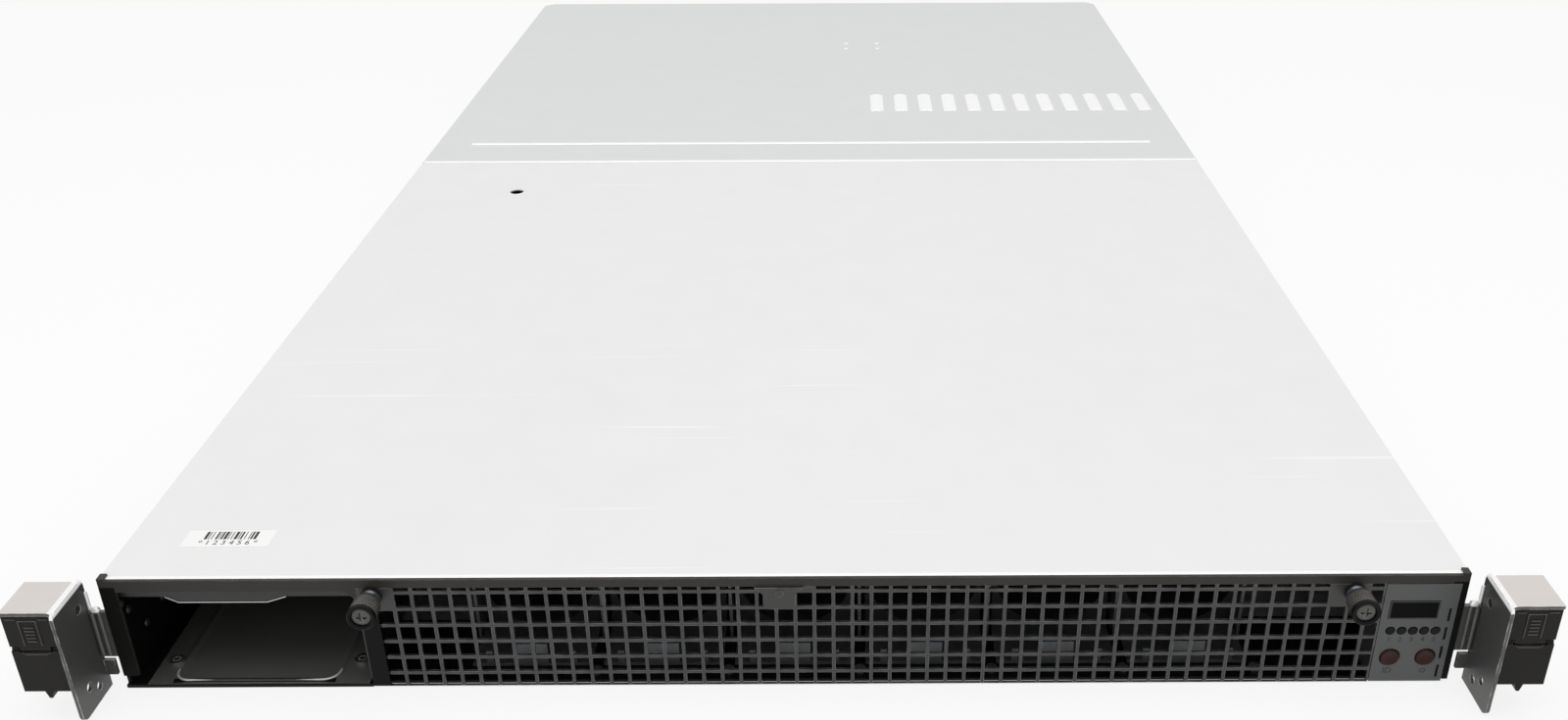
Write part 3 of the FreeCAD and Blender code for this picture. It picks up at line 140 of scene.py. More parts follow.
# ---------------------------------------------------------------- shader nodes
class Net:
    """Short calls that make and join shader nodes in one tree."""

    def __init__(self, tree):
        self.tree = tree
        tree.nodes.clear()

    def put(self, target, value):
        """Joins a socket to the target, or writes a plain value into it."""
        if isinstance(value, bpy.types.NodeSocket):
            self.tree.links.new(value, target)
        elif value is not None:
            target.default_value = value

    def node(self, kind, inputs=None, **settings):
        made = self.tree.nodes.new(kind)
        for key, value in settings.items():
            setattr(made, key, value)
        for key, value in (inputs or {}).items():
            self.put(made.inputs[key], value)
        return made

    def math(self, operation, first, second=None, clamp=False):
        return self.node("ShaderNodeMath", {0: first, 1: second}, operation=operation, use_clamp=clamp).outputs[0]

    def noise(self, vector, scale, detail=3.0):
        return self.node("ShaderNodeTexNoise", {"Vector": vector, "Scale": scale, "Detail": detail}).outputs[0]

    def spread(self, value, low, high, to_low=0.0, to_high=1.0):
        """Carries a value from one range to another, held at the ends."""
        inputs = {"Value": value, "From Min": low, "From Max": high, "To Min": to_low, "To Max": to_high}
        return self.node("ShaderNodeMapRange", inputs, clamp=True).outputs[0]

    def mix(self, share, first, second):
        """Colour that goes from first to second as share goes from 0 to 1."""
        made = self.node("ShaderNodeMix", data_type="RGBA")
        self.put(made.inputs[0], share)
        self.put(made.inputs[6], first)
        self.put(made.inputs[7], second)
        return made.outputs[2]

    def mapped(self, vector, scale=(1, 1, 1), turn=(0, 0, 0), move=(0, 0, 0)):
        return self.node("ShaderNodeMapping", {"Vector": vector, "Scale": scale, "Rotation": turn,
                                               "Location": move}).outputs[0]


def effect(name, inputs, outputs, fill):
    """Shader node group with named sockets; it is built once and used again after that."""
    found = bpy.data.node_groups.get(name)
    if found:
        return found
    tree = bpy.data.node_groups.new(name, "ShaderNodeTree")
    for label, kind, default in inputs:
        socket = tree.interface.new_socket(name=label, in_out="INPUT", socket_type=kind)
        if default is not None:
            socket.default_value = default
    for label, kind in outputs:
        tree.interface.new_socket(name=label, in_out="OUTPUT", socket_type=kind)
    net = Net(tree)
    start, end = net.node("NodeGroupInput"), net.node("NodeGroupOutput")
    fill(net, start.outputs, end.inputs)
    return tree


FLOAT, VECTOR, COLOUR = "NodeSocketFloat", "NodeSocketVector", "NodeSocketColor"


def sheet_tone():
    """Slow clouds and a fine grain: the colour and roughness drift, and the grain is the height."""
    def fill(net, a, out):
        cloud = net.noise(a["Vector"], a["Cloud scale"], 4.0)
        grain = net.noise(a["Vector"], a["Grain scale"], 2.0)
        both = net.math("ADD", net.math("MULTIPLY", cloud, 0.65), net.math("MULTIPLY", grain, 0.35))
        drift = net.math("MULTIPLY", net.math("SUBTRACT", both, 0.5), a["Share"])
        factor = net.math("ADD", net.math("MULTIPLY", drift, 2.0), 1.0)
        grey = net.node("ShaderNodeCombineXYZ", {0: factor, 1: factor, 2: factor}).outputs[0]
        colour = net.node("ShaderNodeVectorMath", {0: a["Colour"], 1: grey}, operation="MULTIPLY")
        net.put(out["Colour"], colour.outputs[0])
        rough = net.math("MULTIPLY", net.math("SUBTRACT", cloud, 0.5), a["Roughness spread"])
        net.put(out["Roughness"], net.math("ADD", a["Roughness"], rough, clamp=True))
        net.put(out["Height"], grain)
    return effect("Sheet tone", [("Vector", VECTOR, None), ("Colour", COLOUR, None), ("Share", FLOAT, 0.05),
                                 ("Cloud scale", FLOAT, 20.0), ("Grain scale", FLOAT, 900.0),
                                 ("Roughness", FLOAT, 0.5), ("Roughness spread", FLOAT, 0.1)],
                  [("Colour", COLOUR), ("Roughness", FLOAT), ("Height", FLOAT)], fill)


def worn_and_highlit_edge():
    """Mask that is 1 where the rounded and the true normal part, broken up by noise; it marks the edges that finishes
    lighten, for rubbed paint and, on some finishes, as a painted highlight.
    """
    def fill(net, a, out):
        rounded = net.node("ShaderNodeBevel", {"Radius": a["Radius"]}, samples=4).outputs[0]
        true = net.node("ShaderNodeNewGeometry").outputs["Normal"]
        dot = net.node("ShaderNodeVectorMath", {0: rounded, 1: true}, operation="DOT_PRODUCT").outputs["Value"]
        near = net.spread(dot, 0.99, 0.80)
        broken = net.spread(net.noise(a["Vector"], 260.0, 4.0), 0.38, 0.60)
        net.put(out["Mask"], net.math("MULTIPLY", net.math("MULTIPLY", near, broken), a["Share"], clamp=True))
    return effect("Worn and highlit edge", [("Vector", VECTOR, None), ("Radius", FLOAT, 0.0004), ("Share", FLOAT, 0.5)],
                  [("Mask", FLOAT)], fill)


def hairlines():
    """Mask of sparse fine scratches: stretched noise above a threshold, kept only in a few patches."""
    def fill(net, a, out):
        patches = net.spread(net.noise(net.mapped(a["Vector"], move=(0.31, 0.17, 0.0)), 5.0, 2.0), 0.52, 0.68)
        both = None
        for turn, move in ((0.35, 0.0), (-0.9, 0.7), (1.45, 1.9)):
            along = net.mapped(a["Vector"], scale=(7.0, 420.0, 7.0), turn=(0.0, 0.0, turn), move=(move, move, 0.0))
            line = net.spread(net.noise(along, a["Scale"], 1.0), 0.735, 0.79)
            both = line if both is None else net.math("MAXIMUM", both, line)
        kept = net.math("MULTIPLY", both, patches)
        net.put(out["Mask"], net.math("MULTIPLY", kept, a["Share"], clamp=True))
    return effect("Hairlines", [("Vector", VECTOR, None), ("Scale", FLOAT, 1.0), ("Share", FLOAT, 0.5)],
                  [("Mask", FLOAT)], fill)


def settled_dust():
    """Mask of dust: upward faces times patchy noise."""
    def fill(net, a, out):
        normal = net.node("ShaderNodeNewGeometry").outputs["Normal"]
        up = net.spread(net.node("ShaderNodeSeparateXYZ", {0: normal}).outputs[2], 0.3, 1.0)
        patchy = net.spread(net.noise(a["Vector"], 45.0, 6.0), 0.35, 0.75)
        net.put(out["Mask"], net.math("MULTIPLY", net.math("MULTIPLY", up, patchy), a["Share"], clamp=True))
    return effect("Settled dust", [("Vector", VECTOR, None), ("Share", FLOAT, 0.3)], [("Mask", FLOAT)], fill)


FINISHES = {}


def finish(name, colour, roughness, metallic=0.0, share=0.06, cloud=22.0, grain=900.0, bump=0.05, spread=0.1,
           wear_and_highlight=None, wear_and_highlight_radius=0.0004, wear_and_highlight_share=1.0, lines=0.0, dust=0.0, stretch=(1, 1, 1),
           coat=0.0, specular=0.5, painted=None):
    """One surface finish: drifting tone, grain bump, and where asked lightened edges (rubbed paint on some finishes,
    a painted highlight on others), scratches and dust.
    """
    if name in FINISHES:
        return FINISHES[name]
    material = bpy.data.materials.new(name)
    material.use_nodes = True
    net = Net(material.node_tree)
    place = net.mapped(net.node("ShaderNodeTexCoord").outputs["Object"], scale=stretch)
    tone = net.node("ShaderNodeGroup", node_tree=sheet_tone())
    for label, value in (("Vector", place), ("Colour", (*colour, 1.0)), ("Share", share), ("Cloud scale", cloud),
                         ("Grain scale", grain), ("Roughness", roughness), ("Roughness spread", spread)):
        net.put(tone.inputs[label], value)
    base, rough, metal = tone.outputs["Colour"], tone.outputs["Roughness"], metallic
    # The edge colour is rubbed paint on some finishes and a painted highlight on others, such as the grille's bars
    # and the ear plates.
    if wear_and_highlight is not None:
        worn_and_lit = net.node("ShaderNodeGroup", node_tree=worn_and_highlit_edge())
        for label, value in (("Vector", place), ("Radius", wear_and_highlight_radius), ("Share", wear_and_highlight_share)):
            net.put(worn_and_lit.inputs[label], value)
        base = net.mix(worn_and_lit.outputs["Mask"], base, (*wear_and_highlight, 1.0))
    if lines:
        scratched = net.node("ShaderNodeGroup", node_tree=hairlines())
        net.put(scratched.inputs["Vector"], place)
        net.put(scratched.inputs["Share"], lines)
        bright = tuple(min(1.0, c * 1.35 + 0.02) for c in colour)
        base = net.mix(scratched.outputs["Mask"], base, (*bright, 1.0))
    if dust:
        dusty = net.node("ShaderNodeGroup", node_tree=settled_dust())
        net.put(dusty.inputs["Vector"], place)
        net.put(dusty.inputs["Share"], dust)
        base = net.mix(dusty.outputs["Mask"], base, (0.36, 0.34, 0.31, 1.0))
        rough = net.math("MAXIMUM", rough, net.math("MULTIPLY", dusty.outputs["Mask"], 0.9))
    if painted:
        zone, paint = painted(net, place), (*painted.colour, 1.0)
        base = net.mix(zone, base, paint)
        rough = net.math("MAXIMUM", rough, net.math("MULTIPLY", zone, 0.5))
        bare = net.math("SUBTRACT", 1.0, zone)
        metal = net.math("MULTIPLY", bare, metallic)
        specular = net.math("MULTIPLY", net.math("MAXIMUM", bare, 0.22), specular)
    shader = net.node("ShaderNodeBsdfPrincipled")
    net.put(shader.inputs["Base Color"], base)
    net.put(shader.inputs["Roughness"], rough)
    net.put(shader.inputs["Metallic"], metal)
    net.put(shader.inputs["Specular IOR Level"], specular)
    net.put(shader.inputs["Coat Weight"], coat)
    raised = net.node("ShaderNodeBump", {"Strength": bump, "Distance": 0.0004, "Height": tone.outputs["Height"]})
    net.put(shader.inputs["Normal"], raised.outputs[0])
    out = net.node("ShaderNodeOutputMaterial")
    net.put(out.inputs["Surface"], shader.outputs[0])
    FINISHES[name] = material
    return material


def cover_finish(name, colour):
    """Light coated sheet with rubbed edges, fine scratches and a little dust."""
    return finish(name, colour, 0.42, metallic=0.35, share=0.022, cloud=7.0, grain=1400.0, bump=0.05, spread=0.10,
                  wear_and_highlight=linear(252, 252, 252), wear_and_highlight_radius=0.0005, wear_and_highlight_share=0.8, lines=0.6, dust=0.03)


def zone_mask(colour, *zones):
    """Mask maker: 1 where x, y and z all lie below any of the given triples of ends, with a sharp painted edge."""
    def build(net, place):
        x, y, z = net.node("ShaderNodeSeparateXYZ", {0: place}).outputs[:3]
        best = None
        for x_end, y_end, z_end in zones:
            inside = net.math("MULTIPLY", net.math("LESS_THAN", x, x_end), net.math("LESS_THAN", y, y_end))
            inside = net.math("MULTIPLY", inside, net.math("LESS_THAN", z, z_end))
            best = inside if best is None else net.math("MAXIMUM", best, inside)
        return best
    build.colour = colour
    return build


def tray_finish():
    """Galvanised steel, painted black under the drive bay and along the front edge."""
    bay = BOX["drive_bay"][1]
    return finish("Tray steel", colours().body_steel, 0.38, metallic=0.85, share=0.09, cloud=160.0, grain=700.0,
                  bump=0.05, wear_and_highlight=linear(235, 236, 237), wear_and_highlight_share=0.5, lines=0.35, dust=0.04,
                  painted=zone_mask(linear(16, 16, 16), (bay[0], bay[1], 1.0), (1.0, FRONT_Y + 0.034, 1.0)))


def post_mask(colour):
    """Mask maker: 1 on the front frame's end posts, below its top strip."""
    def build(net, place):
        x, _, z = net.node("ShaderNodeSeparateXYZ", {0: place}).outputs[:3]
        outside = net.math("GREATER_THAN", net.math("ABSOLUTE", x, 0.0), BOX["front_frame"][1][0] - 0.005)
        return net.math("MULTIPLY", outside, net.math("LESS_THAN", z, 0.0405))
    build.colour = colour
    return build


def frame_finish():
    """Black powder coat with rubbed edges; the end posts are darker."""
    return finish("Front frame black", colours().black_paint, 0.48, share=0.12, cloud=40.0, grain=2600.0, bump=0.28,
                  wear_and_highlight=linear(122, 122, 122), wear_and_highlight_share=edges().wear_and_highlight, dust=0.03, specular=0.3,
                  painted=post_mask(linear(15, 15, 14)))


def grille_finish():
    """Dark grey paint whose hole edges are lightened as a painted highlight on the bars' edges; the plain strip
    beside the bay is near black as painted shade.
    """
    painted_shade_band = BOX["front_grille"][0][0] + 6.2 * MM
    return finish("Grille paint", linear(52, 51, 50), 0.36, share=0.10, cloud=90.0, grain=2400.0, bump=0.16,
                  wear_and_highlight=linear(176, 178, 180), wear_and_highlight_radius=0.0003, wear_and_highlight_share=0.75, dust=0.03,
                  # Painted shade: the plain strip left of the first holes, below the thumbscrew, is near black.
                  painted=zone_mask(linear(9, 9, 9), (painted_shade_band, 1.0, 31.5 * MM)))


# Each finish: its name, its screen colour or the setting that holds it, its roughness, and the rest by name.
SURFACES = {
    # Painted highlight: a near-white copy of the cover steel for the louvres' tops and ends and the covers' raised
    # lips.
    "cover_painted_highlight": ("Cover steel painted highlight", (253, 253, 253), 0.30,
        dict(metallic=0.2, share=0.01, cloud=60.0, grain=1400.0, bump=0.03, spread=0.05)),
    # Painted shade: the bay's black is set darker than the frame's black paint.
    "bay": ("Bay black", (36, 36, 36), 0.4,
        dict(share=0.2, cloud=50.0, grain=2600.0, bump=0.15, wear_and_highlight=(92, 92, 92), wear_and_highlight_share=0.8,
             dust=0.02)),
    # Painted light: the bay floor's black is set much lighter than the bay walls', lifting a floor that lies in
    # shade.
    "bay_floor": ("Bay floor black", (84, 84, 82), 0.45,
        dict(share=0.2, cloud=50.0, grain=2600.0, bump=0.12, wear_and_highlight=(130, 130, 130), wear_and_highlight_share=0.5,
             dust=0.02)),
    "bay_screw": ("Bay screw", (112, 111, 106), 0.5,
        dict(metallic=0.3, share=0.15, cloud=500.0, grain=1800.0, bump=0.05)),
    # Painted highlight: near white, for the lip's lower edge and the floor ridge's front corners.
    "bay_edge_highlight": ("Bay edge painted highlight", (205, 205, 202), 0.32,
        dict(metallic=0.4, share=0.25, cloud=400.0, grain=2600.0, bump=0.06)),
    "body": ("Galvanised steel", "body_steel", 0.38,
        dict(metallic=0.85, share=0.09, cloud=160.0, grain=700.0, bump=0.05, wear_and_highlight=(235, 236, 237),
             wear_and_highlight_share=0.6, lines=0.35, dust=0.04)),
    # The ear's light edge colour is a painted highlight on the plates' edges.
    "ear": ("Ear coat", "ear_steel", 0.4,
        dict(metallic=0.45, share=0.12, cloud=80.0, grain=1200.0, bump=0.12, wear_and_highlight=(225, 222, 218),
             wear_and_highlight_radius=0.0006, wear_and_highlight_share=0.9, lines=0.3)),
    # Painted highlight on the ears' top faces.
    "ear_top_highlight": ("Ear top painted highlight", "ear_top_highlight", 0.34,
        dict(metallic=0.5, share=0.05, cloud=60.0, grain=900.0, bump=0.05, stretch=(1, 12, 1),
             wear_and_highlight=(250, 250, 250), wear_and_highlight_radius=0.0006)),
    "latch": ("Latch plastic", "latch", 0.46,
        dict(share=0.10, cloud=90.0, grain=3000.0, bump=0.22, wear_and_highlight=(84, 82, 76), wear_and_highlight_radius=0.0004,
             wear_and_highlight_share=0.5, dust=0.02, specular=0.16)),
    # Painted highlight: the raised marks and the tongue's lip are a lighter copy of the latch plastic.
    "relief": ("Latch relief", (62, 61, 58), 0.4,
        dict(share=0.2, cloud=400.0, grain=3000.0, bump=0.15, wear_and_highlight=(150, 148, 142), wear_and_highlight_radius=0.0002,
             wear_and_highlight_share=0.8, specular=0.3)),
    # Painted highlight: near white, for the ears' top bends, the neck's crown and its upright bar.
    "bend": ("Ear bend painted highlight", (250, 250, 249), 0.3,
        dict(metallic=0.25, share=0.06, cloud=200.0, grain=900.0, bump=0.04)),
    "bright": ("Bright steel", (205, 206, 208), 0.26,
        dict(metallic=1.0, share=0.08, cloud=200.0, grain=1600.0, bump=0.06, lines=0.2)),
    "zinc": ("Zinc plate", (188, 189, 192), 0.34,
        dict(metallic=1.0, share=0.12, cloud=220.0, grain=1800.0, bump=0.08)),
    "ring": ("Ring black", (8, 8, 8), 0.42,
        dict(share=0.12, cloud=300.0, grain=2500.0, bump=0.06, specular=0.12)),
    "knob": ("Knurl nickel", (74, 71, 67), 0.38,
        dict(metallic=0.55, share=0.2, cloud=300.0, grain=2500.0, bump=0.08, wear_and_highlight=(176, 172, 165),
             wear_and_highlight_radius=0.00022, wear_and_highlight_share=0.8)),
    "collar": ("Collar steel", (120, 126, 132), 0.24,
        dict(metallic=0.9, share=0.2, cloud=240.0, grain=1500.0, bump=0.05)),
    "head": ("Screw head", (84, 84, 81), 0.34,
        dict(metallic=0.75, share=0.3, cloud=700.0, grain=2600.0, bump=0.2, wear_and_highlight=(214, 214, 212),
             wear_and_highlight_radius=0.0002, wear_and_highlight_share=0.7)),
    "washer": ("Washer black", (30, 30, 31), 0.34,
        dict(metallic=0.4, share=0.15, cloud=300.0, grain=2000.0, bump=0.06)),
    "panel": ("Panel plastic", "panel", 0.44,
        dict(share=0.05, cloud=70.0, grain=2800.0, bump=0.18, wear_and_highlight=(140, 141, 142), wear_and_highlight_radius=0.00035,
             wear_and_highlight_share=0.5, dust=0.02)),
    "badge": ("Badge black", (9, 7, 7), 0.5,
        dict(share=0.15, cloud=120.0, grain=1500.0, bump=0.03, specular=0.06)),
    "rim": ("Badge rim", (38, 34, 34), 0.4,
        dict(share=0.15, cloud=300.0, grain=1500.0, bump=0.05)),
    "lamp": ("Lamp lens", (9, 7, 7), 0.2,
        dict(share=0.25, cloud=500.0, grain=900.0, bump=0.02, specular=0.14)),
    "button": ("Button red", "button", 0.42,
        dict(share=0.3, cloud=700.0, grain=2200.0, bump=0.2, wear_and_highlight=(96, 60, 58), wear_and_highlight_share=0.4,
             specular=0.15)),
    "board": ("Board green", "board", 0.36,
        dict(share=0.16, cloud=180.0, grain=420.0, bump=0.10, coat=0.25, wear_and_highlight=(150, 140, 90),
             wear_and_highlight_share=0.4, dust=0.05)),
    "fan": ("Fan plastic", (20, 20, 21), 0.46,
        dict(share=0.1, cloud=120.0, grain=2400.0, bump=0.12, wear_and_highlight=(80, 80, 82), wear_and_highlight_share=0.4,
             dust=0.14)),
    "hub_label": ("Hub label", (120, 122, 124), 0.42,
        dict(metallic=0.5, share=0.08, cloud=200.0, grain=1800.0, bump=0.04, dust=0.1)),
    "bracket": ("Bracket steel", (104, 106, 108), 0.42,
        dict(metallic=0.7, share=0.12, cloud=140.0, grain=900.0, bump=0.06, wear_and_highlight=(190, 192, 194),
             wear_and_highlight_share=0.5, dust=0.05)),
    "chip": ("Chip black", (26, 27, 28), 0.38,
        dict(share=0.1, cloud=300.0, grain=2600.0, bump=0.06, dust=0.04)),
    "choke": ("Choke grey", (88, 90, 94), 0.5,
        dict(share=0.1, cloud=400.0, grain=2400.0, bump=0.12, dust=0.05)),
    "plug": ("Plug white", (214, 210, 198), 0.46,
        dict(share=0.05, cloud=200.0, grain=2200.0, bump=0.06, dust=0.03)),
    "brass": ("Contact gold", (206, 172, 92), 0.28,
        dict(metallic=1.0, share=0.1, cloud=500.0, grain=1800.0, bump=0.03)),
    "display": ("Display plug blue", (36, 62, 138), 0.42,
        dict(share=0.06, cloud=300.0, grain=2400.0, bump=0.06)),
    "green_lamp": ("Green lamp", (72, 150, 82), 0.2,
        dict(share=0.1, cloud=900.0, grain=1200.0, bump=0.02)),
    "amber_lamp": ("Amber lamp", (196, 140, 52), 0.2,
        dict(share=0.1, cloud=900.0, grain=1200.0, bump=0.02)),
    "release": ("Release green", (52, 120, 84), 0.4,
        dict(share=0.08, cloud=260.0, grain=2200.0, bump=0.1, wear_and_highlight=(130, 170, 146), wear_and_highlight_share=0.4)),
    "socket": ("Socket plastic", (46, 45, 44), 0.46,
        dict(share=0.08, cloud=200.0, grain=2600.0, bump=0.12)),
    "lid": ("Chip lid", (190, 190, 188), 0.32,
        dict(metallic=0.95, share=0.08, cloud=160.0, grain=1400.0, bump=0.06, lines=0.3)),
    "fin": ("Fin aluminium", (198, 199, 202), 0.34,
        dict(metallic=0.95, share=0.06, cloud=100.0, grain=1500.0, bump=0.05, stretch=(1, 6, 1),
             dust=0.05)),
    "paper": ("Label paper", (250, 250, 249), 0.55,
        dict(share=0.012, cloud=60.0, grain=3200.0, bump=0.05)),
    "ribbon": ("Ribbon grey", (150, 152, 156), 0.5,
        dict(share=0.12, cloud=30.0, grain=800.0, bump=0.1, stretch=(1, 1, 14))),
    "ink": ("Print ink", "print_ink", 0.5,
        dict(share=0.2, cloud=800.0, grain=2600.0, bump=0.02)),
}


def surface(key):
    """Finish from the table: screen colours become scene-linear, and a name stands for a colour setting."""
    name, colour, roughness, rest = SURFACES[key]
    rest = dict(rest)
    if "wear_and_highlight" in rest:
        rest["wear_and_highlight"] = linear(*rest["wear_and_highlight"])
    shown = getattr(colours(), colour) if isinstance(colour, str) else linear(*colour)
    return finish(name, shown, roughness, **rest)


# ---------------------------------------------------------------- meshes
BEVEL_STEPS, BEVEL_FROM, FLAT_WITHIN = 2, 32.0, 0.4      # bevel segments, and angles in degrees


def add_piece(name, mesh, body, materials, stands_for=()):
    """Puts a finished mesh in the scene, with its ride and the CAD nodes it stands for."""
    made = bpy.data.objects.new(name, mesh)
    bpy.context.scene.collection.objects.link(made)
    for material in materials:
        mesh.materials.append(material)
    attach(made, body)
    if stands_for:
        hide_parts(*stands_for)
    return made


class Skins:
    """Collects closed surfaces, each with its own finish number, for one mesh."""

    def __init__(self):
        self.points, self.faces, self.finishes, self.count = [], [], [], 0

    def add(self, points, faces, number=0):
        points = np.asarray(points, float).reshape(-1, 3)
        made = [tuple(np.asarray(face) + self.count) for face in faces]
        self.points.append(points)
        self.faces += made
        self.finishes += [number] * len(made)
        self.count += len(points)
        return self

    def mesh(self, name, smooth_angle=40.0):
        made = bpy.data.meshes.new(name)
        faces = [tuple(int(i) for i in face) for face in self.faces]
        made.from_pydata(np.concatenate(self.points).tolist(), [], faces)
        made.polygons.foreach_set("material_index", np.array(self.finishes, np.int32))
        work = bmesh.new()
        work.from_mesh(made)
        bmesh.ops.remove_doubles(work, verts=work.verts, dist=1e-7)
        bmesh.ops.recalc_face_normals(work, faces=work.faces)
        work.to_mesh(made)
        work.free()
        made.shade_smooth()
        made.set_sharp_from_angle(angle=math.radians(smooth_angle))
        return made


def grid_faces(rows, columns):
    """Quads of a grid whose columns close on themselves."""
    row, column = np.meshgrid(np.arange(rows - 1), np.arange(columns), indexing="ij")
    after = (column + 1) % columns
    quads = np.stack([row * columns + column, row * columns + after, (row + 1) * columns + after,
                      (row + 1) * columns + column], -1)
    return quads.reshape(-1, 4)


def closed_grid(skins, points, number=0):
    """Adds a grid of rings as a closed surface: quads between rings, and one flat face at each end."""
    rows, columns = points.shape[:2]
    last = (rows - 1) * columns
    faces = grid_faces(rows, columns).tolist()
    faces.append(list(range(columns))[::-1])
    faces.append([last + i for i in range(columns)])
    return skins.add(points, faces, number)


def add_skins(name, skins, body, finishes, stands_for=(), smooth_angle=40.0):
    """Makes one mesh of the skins and puts it in the scene; the finishes are keys of the surface table."""
    mesh = skins.mesh(name, smooth_angle)
    return add_piece(name, mesh, body, [surface(key) for key in finishes], stands_for)


BOX_FACES = [(0, 3, 2, 1), (4, 5, 6, 7), (0, 1, 5, 4), (1, 2, 6, 5), (2, 3, 7, 6), (3, 0, 4, 7)]


def add_boxes(skins, spans, number=0):
    """Blocks given as rows of x0, x1, y0, y1, z0, z1: eight corners and six faces each."""
    spans = np.asarray(spans, float).reshape(-1, 6)
    pick = np.array([(0, 2, 4), (1, 2, 4), (1, 3, 4), (0, 3, 4), (0, 2, 5), (1, 2, 5), (1, 3, 5), (0, 3, 5)])
    points = spans[:, pick].reshape(-1, 3)
    faces = (np.array(BOX_FACES)[None] + 8 * np.arange(len(spans))[:, None, None]).reshape(-1, 4)
    return skins.add(points, faces.tolist(), number)


def turned(profile, centre, axis="Y", steps=32):
    """Rings of a turned shape: each profile row is its radius and its travel along the axis."""
    profile = np.asarray(profile, float)
    angle = np.linspace(0, 2 * math.pi, steps, endpoint=False)
    radius = profile[:, :1] * np.ones((1, steps))
    flat_a, flat_b = radius * np.cos(angle), radius * np.sin(angle)
    travel = profile[:, 1:] * np.ones((1, steps))
    order = {"X": (travel, flat_a, flat_b), "Y": (flat_a, travel, flat_b), "Z": (flat_a, flat_b, travel)}[axis]
    return np.stack(order, -1) + np.asarray(centre, float)


def add_turned(skins, profile, centre, axis="Y", steps=32, number=0):
    return closed_grid(skins, turned(profile, centre, axis, steps), number)


def soften(made, width):
    """Rounds the edges of a piece with a bevel and evens its normals by face size."""
    bevel = made.modifiers.new("Rounded edges", "BEVEL")
    bevel.width = width
    bevel.segments = BEVEL_STEPS
    bevel.limit_method = "ANGLE"
    bevel.angle_limit = math.radians(BEVEL_FROM)
    even = made.modifiers.new("Even normals", "WEIGHTED_NORMAL")
    even.keep_sharp = False
    return made


def softened_copy(node, name, body, materials, width, pick=None):
    """Copy of a CAD node with its triangles merged into flat faces and its edges rounded."""
    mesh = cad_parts[node].data.copy()
    mesh.name = name
    mesh.materials.clear()
    work = bmesh.new()
    work.from_mesh(mesh)
    bmesh.ops.remove_doubles(work, verts=work.verts, dist=2e-6)
    bmesh.ops.dissolve_limit(work, angle_limit=math.radians(FLAT_WITHIN), verts=work.verts, edges=work.edges,
                             use_dissolve_boundaries=False)
    for face in work.faces:
        face.smooth = True
        face.material_index = pick(face) if pick else 0
    work.to_mesh(mesh)
    work.free()
    if "custom_normal" in mesh.attributes:
        mesh.attributes.remove(mesh.attributes["custom_normal"])
    made = add_piece(name, mesh, body, materials, (node,))
    return soften(made, width)


def dress(nodes, key):
    """Gives carried-over CAD nodes their finish, named by its key in the surface table."""
    for node in nodes:
        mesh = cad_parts[node].data
        mesh.materials.clear()
        mesh.materials.append(surface(key))


def words(text, size, centre, plane="front", depth=0.00004):
    """Plain printed characters as a thin mesh: made as text, made a mesh, then set in its plane."""
    curve = bpy.data.curves.new("print", "FONT")
    curve.body = text
    curve.size = size
    curve.align_x = "CENTER"
    curve.align_y = "CENTER"
    curve.extrude = depth
    curve.resolution_u = 3
    holder = bpy.data.objects.new("print", curve)
    bpy.context.scene.collection.objects.link(holder)
    bpy.context.view_layer.update()
    mesh = bpy.data.meshes.new_from_object(holder.evaluated_get(bpy.context.evaluated_depsgraph_get()))
    bpy.data.objects.remove(holder)
    turn = Matrix.Rotation(math.radians(90), 4, "X") if plane == "front" else Matrix.Identity(4)
    mesh.transform(Matrix.Translation(Vector(centre)) @ turn)
    return mesh


def mesh_arrays(mesh):
    """Points and faces of a mesh, for adding it to a set of skins."""
    points = np.empty(len(mesh.vertices) * 3)
    mesh.vertices.foreach_get("co", points)
    return points.reshape(-1, 3), [tuple(face.vertices) for face in mesh.polygons]


# ---------------------------------------------------------------- covers and chassis
SEAM_IN = 396.95 * MM
LOUVRE_IN, LOUVRE_LONG, LOUVRE_WIDE, LOUVRE_HIGH = 491.8 * MM, 32.0 * MM, 8.0 * MM, 1.08 * MM
LOUVRE_X = (36.0 + 15.2 * np.arange(12)) * MM
LOUVRE_ROUND, LOUVRE_LAP = 1.6 * MM, 0.7 * MM
# Raised lips along the covers' front edges, finished in the near-white painted highlight.
COVER_LIPS = (("rear_top_cover", "seam_lip", "rear_cover", 2.3 * MM, 0.62 * MM),
              ("front_top_cover", "front_lip", "front_cover", 1.6 * MM, 0.14 * MM))


def rib(x0, x1, y, z, width, height):
    """Low rounded strip along x: half an ellipse over its width, closed underneath."""
    angle = np.linspace(0, math.pi, 9)
    across = np.concatenate([np.cos(angle) * width / 2, [-width / 4, width / 4]])
    up = np.concatenate([np.sin(angle) * height, [-0.00005, -0.00005]])
    ring = np.stack([across, up], -1)
    points = np.empty((2, len(ring), 3))
    points[:, :, 0] = np.array([[x0], [x1]])
    points[:, :, 1:] = ring + np.array([y, z])
    return Skins().add(points, grid_faces(2, len(ring)).tolist() + [list(range(len(ring))),
                                                                    [len(ring) + i for i in range(len(ring))]])


